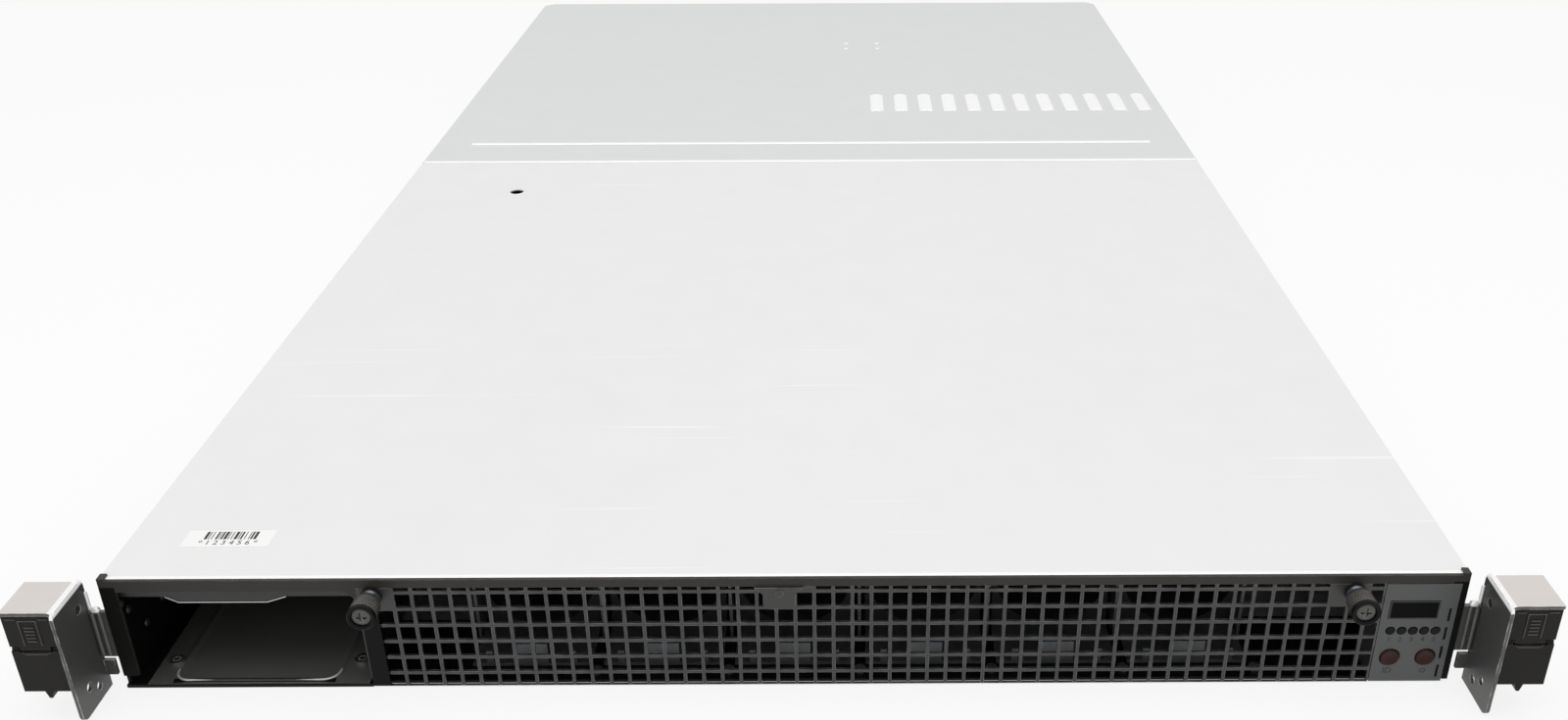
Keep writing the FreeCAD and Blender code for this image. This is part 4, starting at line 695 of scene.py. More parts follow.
def build_louvre_ends(top):
    """Rounded ends of the louvres: the arch's height falls as a cosine while it runs out as a sine."""
    skins = Skins()
    across = np.linspace(-1, 1, 15)
    arch = (1 - across ** 2) * LOUVRE_HIGH
    turn = np.linspace(0, math.pi / 2, 7)[:, None]
    for start, way in ((LOUVRE_IN, -1), (LOUVRE_IN + LOUVRE_LONG, 1)):
        for x in LOUVRE_X:
            y = FRONT_Y + start + way * (np.sin(turn) * LOUVRE_ROUND - LOUVRE_LAP) + 0 * across
            z = top - 0.03 * MM + arch * np.cos(turn) ** 0.8
            outer = np.stack([x + LOUVRE_WIDE / 2 + across * LOUVRE_WIDE / 2 + 0 * turn, y, z], -1)
            inner = outer.copy()
            inner[..., 2] = top - 0.06 * MM
            closed_grid(skins, np.concatenate([outer, inner[:, ::-1]], 1))
    # The ends carry the same near-white painted highlight as the louvres' tops.
    add_skins("louvre_ends", skins, "rear_cover", ["cover_painted_highlight"], smooth_angle=60.0)


def build_covers():
    """Both top covers as softened sheets, with the louvres' ends and the raised lips; the louvres' tops and ends and
    both lips carry a near-white painted highlight.
    """
    front = cover_finish("Front cover steel", colours().front_cover)
    rear = cover_finish("Rear cover steel", colours().rear_cover)
    softened_copy("front_top_cover", "front_cover_sheet", "front_cover", [front], edges().sheet)
    top = BOX["front_top_cover"][1][2]

    # Faces above the sheet's top, the louvres' tops, take the near-white painted highlight.
    def pick(face):
        return 1 if face.calc_center_median().z > top + 0.04 * MM else 0

    softened_copy("rear_top_cover", "rear_cover_sheet", "rear_cover", [rear, surface("cover_painted_highlight")],
                  edges().sheet * 0.6, pick=pick)
    build_louvre_ends(top)
    for node, name, body, width, height in COVER_LIPS:
        low, high = BOX[node]
        start = FRONT_Y + SEAM_IN if node == "rear_top_cover" else low[1]
        strip = rib(low[0] + MM, high[0] - MM, start + width / 2, top, width, height)
        add_skins(name, strip, body, ["cover_painted_highlight"])


def build_chassis():
    """Tray, front frame and drive bay as softened sheets, the rear panel, and the bay's floor and trim."""
    softened_copy("chassis_tray", "tray_sheet", "chassis", [tray_finish()], edges().sheet)
    softened_copy("front_frame", "front_frame_sheet", "chassis", [frame_finish()], edges().sheet)
    softened_copy("drive_bay", "drive_bay_sheet", "chassis", [surface("bay")], edges().sheet)
    dress(["rear_panel"], "body")
    build_bay_floor()
    build_bay_trim()


RIDGE_MARGIN, RIDGE_REAR, RIDGE_FRONT = 10 * MM, 8 * MM, 1.7 * MM      # ridge's distance from the floor's edges
RIDGE_CORNER, RIDGE_WIDE, RIDGE_HIGH = 5 * MM, 1.0 * MM, 0.58 * MM
RIDGE_ASIDE = 1.5 * MM                                                  # ridge's middle, left of the floor's
BAY_LIP = np.array(((13.7, 0.1), (17.7, -2.0), (46.3, -2.0), (52.7, 0.1))) * MM    # from BAY_LIP_AT
BAY_LIP_AT, BAY_LIP_IN, BAY_LIP_HALF = (-213.5 * MM, -5.0 * MM), 2.9 * MM, 0.16 * MM
BAY_RIVETS = ((6, 30), (9, 25.5), (14, 33), (17, 14), (24, 23), (30, 15), (44, 30))    # mm in from the front, and up


def build_bay_floor():
    """Black bay floor: a flat sheet with a pressed ridge along a rounded rectangle."""
    low, high = BOX["drive_bay"]
    x0, x1 = low[0] + 4.4 * MM, high[0] - 1.4 * MM
    y0, y1 = FRONT_Y + 0.25 * MM, high[1] - 2.0 * MM
    x = np.linspace(x0, x1, 170)[None, :]
    y = (y0 + (y1 - y0) * np.linspace(0, 1, 150) ** 1.6)[:, None]
    middle_x, middle_y = (x0 + x1) / 2 - RIDGE_ASIDE, (FRONT_Y + RIDGE_FRONT + y1 - RIDGE_REAR) / 2
    half_x, half_y = (x1 - x0) / 2 - RIDGE_MARGIN, (y1 - RIDGE_REAR - FRONT_Y - RIDGE_FRONT) / 2
    out_x = np.abs(x - middle_x) - half_x + RIDGE_CORNER
    out_y = np.abs(y - middle_y) - half_y + RIDGE_CORNER
    outside = np.hypot(np.maximum(out_x, 0), np.maximum(out_y, 0))
    away = outside + np.minimum(np.maximum(out_x, out_y), 0) - RIDGE_CORNER
    z = low[2] + 0.05 * MM + RIDGE_HIGH * np.exp(-(away / RIDGE_WIDE) ** 2)
    points = np.stack([x + 0 * y, y + 0 * x, z], -1)
    rows, columns = z.shape
    row, column = np.meshgrid(np.arange(rows - 1), np.arange(columns - 1), indexing="ij")
    first = row * columns + column
    faces = np.stack([first, first + 1, first + columns + 1, first + columns], -1).reshape(-1, 4)
    skins = Skins().add(points, faces.tolist())
    made = add_skins("bay_floor", skins, "chassis", ["bay_floor"], smooth_angle=60.0)
    thick = made.modifiers.new("Sheet", "SOLIDIFY")
    thick.thickness = 0.04 * MM
    thick.offset = -1.0


def bay_lip_line(skins, edge):
    """Painted highlight on the lower edge of the bay's lip: a thin flat strip along the lip's outline."""
    rise, y = (0, BAY_LIP_HALF), FRONT_Y + BAY_LIP_IN
    outline = np.concatenate([BAY_LIP + rise, BAY_LIP[::-1] - rise]) + (BAY_LIP_AT[0], edge + BAY_LIP_AT[1])
    flat = np.zeros((2, 1))
    rings = np.stack([outline[:, 0] + flat, np.array([[y - 0.1 * MM], [y]]) + 0 * outline[:, 0],
                      outline[:, 1] + flat], -1)
    closed_grid(skins, rings, 1)


def bay_ridge_ends(skins, low, high):
    """Front corners of the floor's ridge in a near-white painted highlight: a tube round each quarter turn and a
    little way along.
    """
    turn = np.radians(np.linspace(180, 270, 14))
    centre_x = (low[0] + high[0]) / 2
    for way in (-1, 1):
        corner = centre_x + way * ((high[0] - low[0]) / 2 - 17.4 * MM)
        bend = np.stack([corner - way * RIDGE_CORNER * np.cos(turn),
                         FRONT_Y + RIDGE_FRONT + RIDGE_CORNER + RIDGE_CORNER * np.sin(turn)], -1)
        ends = [(bend[0][0], bend[0][1] + 1 * MM), *bend, (bend[-1][0] - way * 9 * MM, bend[-1][1])]
        path = np.array([(x, y, low[2] + 0.55 * MM) for x, y in ends])
        swept(skins, path, 0.42 * MM, 1)


def build_bay_trim():
    """Painted highlights on the lower edge of the bay's lip and on the ridge's front corners, rivets on the left wall
    and two floor screws.
    """
    low, high = BOX["drive_bay"]
    skins = Skins()
    bay_lip_line(skins, high[2])
    bay_ridge_ends(skins, low, high)
    wall = low[0] - 0.2 * MM
    dome = np.array([(1.5, 0.0), (1.4, 0.35), (1.0, 0.65), (0.4, 0.78)]) * MM
    for y, z in BAY_RIVETS:
        add_turned(skins, dome, (wall, FRONT_Y + y * MM, z * MM), "X", 20, 0)
    head = np.array([(1.9, 0.4), (1.9, 0.8), (1.6, 1.2), (0.9, 1.35), (0.4, 1.0)]) * MM
    for x in (low[0] + 9.5 * MM, high[0] - 7.0 * MM):
        add_turned(skins, head, (x, FRONT_Y + 12 * MM, low[2]), "Z", 24, 2)
    add_skins("bay_trim", skins, "chassis", ["bay", "bay_edge_highlight", "bay_screw"])


def build_grille():
    """Front grille with every hole's rim rounded."""
    softened_copy("front_grille", "grille_plate", "grille", [grille_finish()], edges().grille)


# ---------------------------------------------------------------- thumbscrews
def plus_outline(angle, half_width, reach):
    """Radius of a plus-shaped recess at each angle: the arm's end, or its side where that is nearer."""
    small = np.minimum(np.abs(np.cos(angle)), np.abs(np.sin(angle)))
    large = np.maximum(np.abs(np.cos(angle)), np.abs(np.sin(angle)))
    return np.minimum(reach / large, half_width / np.maximum(small, 1e-6))


def ringed(skins, centre, radius, travel, number):
    """Rings about an axis along y, each with its own radius by angle and its travel from the front."""
    x, front, z = centre
    steps = radius.shape[1]
    angle = np.linspace(0, 2 * math.pi, steps, endpoint=False)
    y = front + np.asarray(travel)[:, None] + 0 * angle
    closed_grid(skins, np.stack([x + radius * np.cos(angle), y, z + radius * np.sin(angle)], -1), number)


def knurl(angle, share):
    """Diamond ridges: the product of two sets of slanted waves that cross each other."""
    slant = 2.2 * math.pi * share[:, None]
    return np.abs(np.sin(15 * angle[None, :] + slant)) * np.abs(np.sin(15 * angle[None, :] - slant))


SHANK_R = 1.4 * MM
SCREW_RING = np.array([(3.15, 1.4), (3.15, 0.75), (3.3, 0.3), (3.7, 0.02), (4.2, 0.0), (4.5, 0.2), (4.6, 0.6),
                       (4.6, 1.5), (4.4, 1.75), (4.0, 1.8)]) * MM
SCREW_BODY_ENDS = np.array([(4.0, 1.7), (4.25, 1.85), (4.0, 7.6), (3.5, 8.0)]) * MM
SCREW_COLLAR = np.array([(3.3, 7.9), (3.2, 8.2), (3.0, 9.0), (3.05, 9.9), (3.3, 10.4), (3.3, 10.65),
                         (3.0, 10.75)]) * MM


def thumbscrew_skins(node):
    """Turned thumbscrew: smooth black end ring, knurled body, plain collar and shank, sunk screw head."""
    low, high = BOX[node]
    centre = ((low[0] + high[0]) / 2, low[1], (low[2] + high[2]) / 2)
    length = high[1] - low[1]
    steps = 150
    angle = np.linspace(0, 2 * math.pi, steps, endpoint=False)
    skins = Skins()
    add_turned(skins, SCREW_RING, centre, "Y", 64, 0)
    share = np.linspace(0, 1, 25)
    body = (4.28 - 0.25 * share[:, None]) * MM + 0.30 * MM * knurl(angle, share)
    wide = [np.full(steps, radius) for radius in SCREW_BODY_ENDS[:, 0]]
    travel = [*SCREW_BODY_ENDS[:2, 1], *((1.95 + 5.5 * share) * MM), *SCREW_BODY_ENDS[2:, 1]]
    ringed(skins, centre, np.array(wide[:2] + list(body) + wide[2:]), travel, 1)
    shank = [(SHANK_R, 10.8 * MM), (SHANK_R, length - 0.6 * MM), (SHANK_R - 0.5 * MM, length)]
    add_turned(skins, np.concatenate([SCREW_COLLAR, shank]), centre, "Y", 40, 2)
    plus = plus_outline(angle, 0.5 * MM, 1.8 * MM)
    around = MM * np.ones(steps)
    head = [(3.1 * around, 1.3), (3.1 * around, 0.85), (2.95 * around, 0.7), (2.5 * around, 0.58),
            (plus * 1.08, 0.52), (plus * 0.95, 0.7), (plus * 0.45, 1.6)]
    ringed(skins, centre, np.array([radius for radius, _ in head]), [travel * MM for _, travel in head], 3)
    return skins


def build_thumbscrews():
    """Both turned thumbscrews, and the finish of their washers."""
    for side, _ in SIDES:
        node = "thumbscrew_" + side
        add_skins(node + "_turned", thumbscrew_skins(node), "knob_" + side,
                  ["ring", "knob", "collar", "head"], (node,), 34.0)
    dress(["screw_washer_left", "screw_washer_right"], "washer")


# ---------------------------------------------------------------- control panel
def ring_arc(centre, radius, width, start, end, depth, steps=28):
    """Flat printed arc facing the front: an inner and an outer radius carried round from start to end."""
    angle = np.radians(np.linspace(start, end, steps))[:, None]
    radii = radius + np.array([[-width, width, width, -width]]) / 2
    y = centre[1] + np.array([[0, 0, -depth, -depth]]) + 0 * angle
    return np.stack([centre[0] + radii * np.cos(angle), y, centre[2] + radii * np.sin(angle)], -1)


PRINT_DEEP, LAMP_WIDE, MARK_DROP, SIGN_DROP = 0.00003, 2.7 * MM, 2.2 * MM, 2.4 * MM


def build_panel_print():
    """Small printed marks: numbers under the lamps, ID and the power sign under the buttons."""
    skins = Skins()
    face = BOX["control_panel"][0][1] - 0.00001
    lamps_low, lamps_high = BOX["status_leds"]
    step = (lamps_high[0] - lamps_low[0] - LAMP_WIDE) / 4
    for i in range(5):
        x = lamps_low[0] + LAMP_WIDE / 2 + step * i
        mark = words(str(i + 1), 2.7 * MM, (x, face, lamps_low[2] - MARK_DROP), "front", PRINT_DEEP)
        skins.add(*mesh_arrays(mark))
    left, right = BOX["locator_button"], BOX["power_button"]
    x = (left[0][0] + left[1][0]) / 2
    skins.add(*mesh_arrays(words("ID", 3.2 * MM, (x, face, left[0][2] - SIGN_DROP), "front", PRINT_DEEP)))
    x, z = (right[0][0] + right[1][0]) / 2, right[0][2] - SIGN_DROP
    closed_grid(skins, ring_arc((x, face, z), 0.85 * MM, 0.3 * MM, 120, 420, PRINT_DEEP))
    add_boxes(skins, [(x - 0.15 * MM, x + 0.15 * MM, face - PRINT_DEEP, face, z, z + 1.15 * MM)])
    add_skins("panel_print", skins, "chassis", ["ink"])


def build_badge_frame():
    """Thin raised rim round the bare badge."""
    low, high = BOX["badge_plate"]
    front, deep = low[1] - 0.08 * MM, high[1]
    rim = 0.45 * MM
    skins = Skins()
    add_boxes(skins, [(low[0], high[0], front, deep, low[2], low[2] + rim),
                      (low[0], high[0], front, deep, high[2] - rim, high[2]),
                      (low[0], low[0] + rim, front, deep, low[2] + rim, high[2] - rim),
                      (high[0] - rim, high[0], front, deep, low[2] + rim, high[2] - rim)])
    add_skins("badge_rim", skins, "chassis", ["rim"])


def build_buttons():
    """Push buttons: a rolled edge round a dished face, whose depth falls as the square of the radius."""
    share = np.linspace(1, 0, 9)[:-1]
    for node, body in (("locator_button", "locator_key"), ("power_button", "power_key")):
        low, high = BOX[node]
        centre = ((low[0] + high[0]) / 2, low[1], (low[2] + high[2]) / 2)
        radius = (high[0] - low[0]) / 2
        dish = [(2.35 * MM * s, (0.1 + 0.45 * (1 - s ** 2)) * MM) for s in share]
        outer = np.array([(radius, 2.4 * MM), (radius, 0.5 * MM), (radius - 0.15 * MM, 0.14 * MM),
                          (radius - 0.45 * MM, 0.0)])
        profile = np.concatenate([outer, dish])
        stem = np.array([(1.2 * MM, high[1] - low[1]), (1.2 * MM, 2.4 * MM)])
        skins = Skins()
        add_turned(skins, np.concatenate([stem, profile]), centre, "Y", 48)
        add_skins(node + "_cap", skins, body, ["button"], (node,), 50.0)


def build_control_panel():
    """Softened panel moulding, its print, badge rim and buttons, and the finish of what it carries."""
    softened_copy("control_panel", "panel_moulding", "chassis", [surface("panel")],
                  edges().plastic * 0.6)
    build_panel_print()
    build_badge_frame()
    build_buttons()
    dress(["control_board"], "board")
    dress(["status_leds"], "lamp")
    dress(["badge_plate"], "badge")
    dress(["ribbon_cable"], "ribbon")


# ---------------------------------------------------------------- rack ears
EAR_BEND = 2.6 * MM
EAR_TRIM = (((0.9, 0.9), (3.1, 0.8)), (12.8, 30.2))     # neck rolls: inset and radius, then ends in height, all in mm
LATCH_FIELD, LATCH_LINE, LATCH_RIM, LATCH_PROUD = 2.9 * MM, 2.0 * MM, 0.35 * MM, 0.28 * MM
LATCH_RIBS = (31.9, 33.2, 34.5, 35.8, 37.1)             # heights of the grip ribs, mm
EAR_PLATE = 224.3 * MM


def half_round(skins, start, end, radius, number=0, steps=14):
    """Round bar with domed ends between two points: its radius falls as a half circle at either end."""
    start, end = np.asarray(start, float), np.asarray(end, float)
    along = end - start
    length = np.linalg.norm(along)
    along = along / length
    side = np.cross(along, (0.0, 1.0, 0.0) if abs(along[1]) < 0.9 else (1.0, 0.0, 0.0))
    side = side / np.linalg.norm(side)
    other = np.cross(along, side)
    cap = np.radians([8, 35, 65, 90])
    travel = np.concatenate([radius * (1 - np.cos(cap)), length - radius * (1 - np.cos(cap[::-1]))])
    wide = np.concatenate([np.sin(cap), np.sin(cap[::-1])]) * radius
    angle = np.linspace(0, 2 * math.pi, steps, endpoint=False)
    around = np.cos(angle)[:, None] * side + np.sin(angle)[:, None] * other
    rings = start + travel[:, None, None] * along + wide[:, None, None] * around[None]
    closed_grid(skins, rings, number)


def swept(skins, path, radius, number=0, steps=10):
    """Thin tube along a path: rings stand square to the path, tapering at both ends."""
    along = np.gradient(path, axis=0)
    along /= np.linalg.norm(along, axis=1)[:, None]
    side = np.cross(along, (0.0, 0.0, 1.0))
    side /= np.linalg.norm(side, axis=1)[:, None]
    other = np.cross(along, side)
    wide = np.full(len(path), radius)
    wide[[0, -1]] *= 0.15
    angle = np.linspace(0, 2 * math.pi, steps, endpoint=False)[None, :, None]
    around = np.cos(angle) * side[:, None] + np.sin(angle) * other[:, None]
    closed_grid(skins, path[:, None] + wide[:, None, None] * around, number)


def build_ear_trim(side, sign):
    """Near-white painted highlight along the ear's top bend, and the rolled neck with its domed crown, the crown and
    its upright bar in the same painted highlight.
    """
    low, high = BOX["ear_bracket_" + side]
    skins = Skins()
    top, front = high[2], low[1]
    x, bend = sign * (EAR_PLATE + 0.9 * MM), top - 0.95 * MM
    half_round(skins, (x, front + 2.2 * MM, bend), (x, FRONT_Y + 0.6 * MM, bend), 0.5 * MM, 0)
    rolls, (start, end) = EAR_TRIM
    for inset, radius in rolls:
        x, y = sign * (EAR_PLATE - inset * MM), FRONT_Y + 0.7 * MM
        half_round(skins, (x, y, start * MM), (x, y, end * MM), radius * MM, 1)
    y = FRONT_Y + 1.0 * MM
    x = sign * (EAR_PLATE - 2.2 * MM)
    half_round(skins, (x - 1.6 * MM, y, 31.2 * MM), (x + 1.6 * MM, y, 31.2 * MM), 1.1 * MM, 0)
    x = sign * (EAR_PLATE - 0.6 * MM)
    half_round(skins, (x, y, 31.0 * MM), (x, y, 38.5 * MM), 0.55 * MM, 0)
    add_skins("ear_%s_trim" % side, skins, "chassis", ["bend", "ear"], smooth_angle=60.0)


def build_latch_relief(side):
    """Raised marks on the latch: a framed field of grip ribs and a broken top line, lighter than the latch as a
    painted highlight.
    """
    low, high = BOX["latch_housing_" + side]
    front, head = low[1], high[2] - LATCH_LINE
    middle, half = (low[0] + high[0]) / 2, (high[0] - low[0]) / 2
    field, rim, bottom = LATCH_FIELD, LATCH_RIM, 30.6 * MM
    side_line = (head + 0.5 * MM, head + 0.85 * MM)
    spans = [(middle - field, middle - field + rim, bottom, head),
             (middle + field - rim, middle + field, bottom, head),
             (middle - field, middle + field, head, head + rim),
             (middle - half + 1.2 * MM, middle - field - 0.6 * MM, *side_line),
             (middle + field + 0.6 * MM, middle + half - 1.2 * MM, *side_line)]
    spans += [(middle - 1.5 * MM, middle + 1.5 * MM, z * MM, (z + 0.5) * MM) for z in LATCH_RIBS]
    skins = Skins()
    add_boxes(skins, [(x0, x1, front - LATCH_PROUD, front + 0.05 * MM, z0, z1) for x0, x1, z0, z1 in spans])
    made = add_skins("latch_%s_relief" % side, skins, "chassis", ["relief"])
    soften(made, 0.09 * MM)


def build_latch_lip(side):
    """Rounded lip along the latch tongue's top, turned up a little at both ends, lighter than the latch as a painted
    highlight.
    """
    low, high = BOX["latch_housing_" + side]
    front, middle = low[1], (low[0] + high[0]) / 2
    z = BOX["latch_lever_" + side][1][2] - 2.6 * MM
    lip = Skins()
    half_round(lip, (middle - 3.6 * MM, front, z), (middle + 3.6 * MM, front, z), 0.3 * MM)
    for way in (-1, 1):
        start, end = middle + way * 3.7 * MM, middle + way * 4.3 * MM
        half_round(lip, (start, front, z + 0.1 * MM), (end, front, z + 0.7 * MM), 0.2 * MM)
    add_skins("latch_%s_lip" % side, lip, "lever_" + side, ["relief"], smooth_angle=60.0)


def build_ears():
    """Ear plates with painted highlights on their tops and bends, and the latches on them."""
    top = BOX["ear_bracket_left"][1][2]

    # Upward top faces take the ears' top painted highlight, and the bend's upward faces the near-white one.
    def pick(face):
        z, up = face.calc_center_median().z, face.normal.z
        if z > top - 0.1 * MM and up > 0.95:
            return 1
        return 2 if z > top - EAR_BEND and up > 0.25 else 0

    for side, sign in SIDES:
        softened_copy("ear_bracket_" + side, "ear_%s_plate" % side, "chassis",
                      [surface("ear"), surface("ear_top_highlight"), surface("bend")], edges().sheet * 1.6, pick=pick)
        softened_copy("latch_housing_" + side, "latch_%s_cap" % side, "chassis",
                      [surface("latch")], edges().plastic * 0.7)
        softened_copy("latch_lever_" + side, "latch_%s_tongue" % side, "lever_" + side,
                      [surface("latch")], edges().plastic * 0.7)
        build_ear_trim(side, sign)
        build_latch_relief(side)
        build_latch_lip(side)
    dress(["latch_pin_left", "latch_pin_right", "latch_spring_left", "latch_spring_right"], "bright")


# ---------------------------------------------------------------- label
LABEL_BARS = (3, 1, 1, 2, 1, 3, 2, 1, 1, 1, 2, 1, 3, 1, 1, 2, 1, 2, 3, 1, 1, 1, 2, 2, 1, 3, 1, 1, 2, 1, 3)


def build_label():
    """Paper label: bars of unlike widths stand side by side over a row of plain numbers."""
    low, high = BOX["barcode_label"]
    dress(["barcode_label"], "paper")
    skins = Skins()
    top = high[2]
    width = (high[0] - low[0]) * 0.60
    middle = (low[0] + high[0]) / 2 + 0.5 * MM
    unit = width / sum(LABEL_BARS)
    at = middle - width / 2 + np.concatenate([[0], np.cumsum(LABEL_BARS)]) * unit
    spans = [(at[i], at[i + 1] - unit * 0.15, low[1] + 0.0042, high[1] - 0.0009, top - 0.00002, top + 0.00003)
             for i in range(0, len(LABEL_BARS), 2)]
    add_boxes(skins, spans)
    text = words("* 1 2 3 4 5 6 *", 0.0034, (middle, low[1] + 0.0022, top), "top", 0.00003)
    skins.add(*mesh_arrays(text))
    add_skins("label_print", skins, "front_cover", ["ink"])


# ---------------------------------------------------------------- inside
def blade_rings(centre, angle, hub_r, tip_r, front, depth):
    """One fan blade: it turns with the travel along the axis, leans back with the radius and thins to its tip."""
    radius = np.linspace(hub_r - 0.6 * MM, tip_r, 7)[:, None]
    share = np.linspace(0, 1, 9)[None, :]
    lean = 0.30 * (radius - hub_r) / (tip_r - hub_r)
    turn = angle + lean + 0.95 * (share - 0.5) * (1 - 0.18 * lean) + 0.16 * np.sin(math.pi * share)
    thick = (0.9 - 0.5 * lean) * MM / radius * np.sin(math.pi * np.clip(share, 0.06, 0.94)) ** 0.5
    y = front + depth * (0.12 + 0.76 * share) + 0 * radius

    def sheet(offset):
        around = turn + offset
        return np.stack([centre[0] + radius * np.cos(around), y, centre[2] + radius * np.sin(around)], -1)
    return np.concatenate([sheet(thick / 2), sheet(-thick / 2)[:, ::-1]], 1)


FANS, FAN_HUB_R, FAN_BLADES = 6, 8.5 * MM, 7


def build_rotor(node, body):
    """Fan rotor: a hub with a rolled edge and a sunk face, and curved blades set round it."""
    low, high = BOX[node]
    hub_r = FAN_HUB_R
    centre = (low + high) / 2
    tip_r, front, depth = (high[0] - low[0]) / 2, low[1], high[1] - low[1]
    skins = Skins()
    hub = [(hub_r - 2.2 * MM, 0.9 * MM), (hub_r - 1.6 * MM, 0.3 * MM), (hub_r - 0.8 * MM, 0.0),
           (hub_r - 0.2 * MM, 0.3 * MM), (hub_r, 1.0 * MM), (hub_r, depth - 0.4 * MM), (hub_r - 0.4 * MM, depth),
           (1.9 * MM, depth)]
    add_turned(skins, np.array(hub), (centre[0], front, centre[2]), "Y", 48)
    disc = np.array([(hub_r - 2.3 * MM, 1.1 * MM), (hub_r - 2.3 * MM, 0.72 * MM), (hub_r - 2.6 * MM, 0.66 * MM)])
    add_turned(skins, disc, (centre[0], front, centre[2]), "Y", 40, 1)
    for angle in np.linspace(0, 2 * math.pi, FAN_BLADES, endpoint=False):
        closed_grid(skins, blade_rings(centre, angle, hub_r, tip_r, front, depth))
    add_skins(node + "_blades", skins, body, ["fan", "hub_label"], (node,), 50.0)


def build_fans():
    """Six bladed rotors in dressed frames, and their bracket."""
    dress(["fan_frames"], "fan")
    for number in range(1, FANS + 1):
        build_rotor("fan_rotor_%d" % number, "fan_%d" % number)
    dress(["fan_bracket"], "bracket")


def build_boards():
    """Finishes of the boards and what stands on them, and the small parts of the main board."""
    dress(["motherboard", "bay_backplane", "power_backplane", "accelerator_boards"], "board")
    dress(["cpu_sockets", "dimm_slots"], "socket")
    dress(["processors"], "lid")
    dress(["heatsink_1", "heatsink_2"], "fin")
    dress(["memory_modules"], "board")
    dress(["board_standoffs", "fasteners"], "zinc")
    softened_copy("accelerator_shrouds", "accelerator_hoods", "chassis", [surface("body")],
                  edges().sheet)
    build_board_parts()
    build_memory_chips()


BOARD_TOP = 8.1 * MM
# On the main board, in mm: x from the board's left edge and y from the back of the front heatsink.
PHASE_AT, PHASES, PHASE_PITCH = (28, 196), 8, 11.0
CAN = np.array([(3.4, 0), (3.4, 0.8), (3.1, 1.2), (3.1, 7.6), (2.8, 8.0), (1.4, 8.0)]) * MM
COIN = np.array([(10.0, 0), (10.0, 2.4), (9.4, 3.0), (8.2, 3.1)]) * MM
BOARD_CHIPS = ((20, 60, 14, 14, 1.4), (50, 64, 9, 9, 1.2), (72, 58, 7, 12, 1.2), (96, 96, 20, 20, 1.6),
               (30, 110, 22, 10, 1.4), (150, 120, 12, 12, 1.4), (228, 66, 10, 16, 1.4), (250, 110, 18, 18, 1.6),
               (200, 96, 8, 8, 1.2), (180, 140, 16, 8, 1.4))
BOARD_PLUGS = ((286, 58, 10, 52, 9), (286, 118, 10, 22, 9), (120, 60, 42, 6, 6.5), (120, 70, 42, 6, 6.5))
CHIP, CHOKE, METAL, PLUG, SMALL, CELL = range(6)       # finish numbers on the board


def build_board_parts():
    """Chips, chokes, capacitors, plugs and a coin cell on the main board, laid out in rows."""
    left, sink = BOX["motherboard"][0][0], BOX["heatsink_1"][1][1]
    skins = Skins()

    def block(x, y, wide, long, tall, number):
        x, y = left + x * MM, sink + y * MM
        add_boxes(skins, [(x, x + wide * MM, y, y + long * MM, BOARD_TOP, BOARD_TOP + tall * MM)], number)

    for first in PHASE_AT:
        for i in range(PHASES):
            x = first + i * PHASE_PITCH
            block(x, 14, 8, 8, 5.0, CHOKE)
            block(x + 2, 24.5, 4.5, 6, 1.6, CHIP)
            add_turned(skins, CAN, (left + (x + 4) * MM, sink + 37 * MM, BOARD_TOP), "Z", 20, METAL)
    for span in BOARD_CHIPS:
        block(*span, CHIP)
    for span in BOARD_PLUGS:
        block(*span, PLUG)
    for row in range(5):
        for i in range(9):
            block(14 + i * 6.0 + row * 38, 84 + (row % 2) * 50, 1.6, 3.2, 1.0, SMALL)
    add_turned(skins, COIN, (left + 66 * MM, sink + 96 * MM, BOARD_TOP + 1.0 * MM), "Z", 40, CELL)
    add_skins("board_parts", skins, "chassis", ["chip", "choke", "zinc", "plug", "choke", "bright"])


DIMM_PITCH, DIMM_COUNT, DIMM_T, CHIPS_LONG = 8.6 * MM, 8, 1.3 * MM, 8


def build_memory_chips():
    """Eight chips along both faces of every memory module."""
    low, high = BOX["memory_modules"]
    slots = BOX["dimm_slots"]
    first = (slots[0][0] + slots[1][0]) / 2 - DIMM_PITCH * (DIMM_COUNT - 1) / 2
    pitch = (high[1] - low[1] - 12 * MM) / CHIPS_LONG
    spans = []
    for module in range(DIMM_COUNT):
        x = first + DIMM_PITCH * module
        for i in range(CHIPS_LONG):
            y = low[1] + 6 * MM + pitch * i + 2 * MM
            for way in (-1, 1):
                x0, x1 = sorted((x + way * DIMM_T / 2, x + way * (DIMM_T / 2 + 1.0 * MM)))
                spans.append((x0, x1, y, y + pitch - 4 * MM, slots[1][2] + 1.5 * MM, high[2] - 3.5 * MM))
    skins = Skins()
    add_boxes(skins, spans)
    add_skins("memory_chips", skins, "chassis", ["chip"])


# ---------------------------------------------------------------- rear
# On a power supply's rear face, in mm.
INLET_PINS = ((-7, -1.0), (0, 1.2), (7, -1.0))          # height from the middle and shift across
INLET_IN, PIN_HALF, PIN_FLAT, PIN_ENDS = 8.3, 1.9, 0.9, (14.2, 3.2)
FACE_SCREWS = ((2.6, 2.6), (2.6, 37.0), (51.4, 37.0), (15.5, 2.6))
SCREW_HEAD = np.array([(1.9, -0.6), (1.9, 0.15), (1.6, 0.5), (0.9, 0.65), (0.7, 0.3)]) * MM
LAMP_DOME, LAMP_AT = np.array([(1.3, -0.6), (1.3, 0.2), (0.9, 0.55), (0.3, 0.62)]) * MM, (51.2, 30.5)


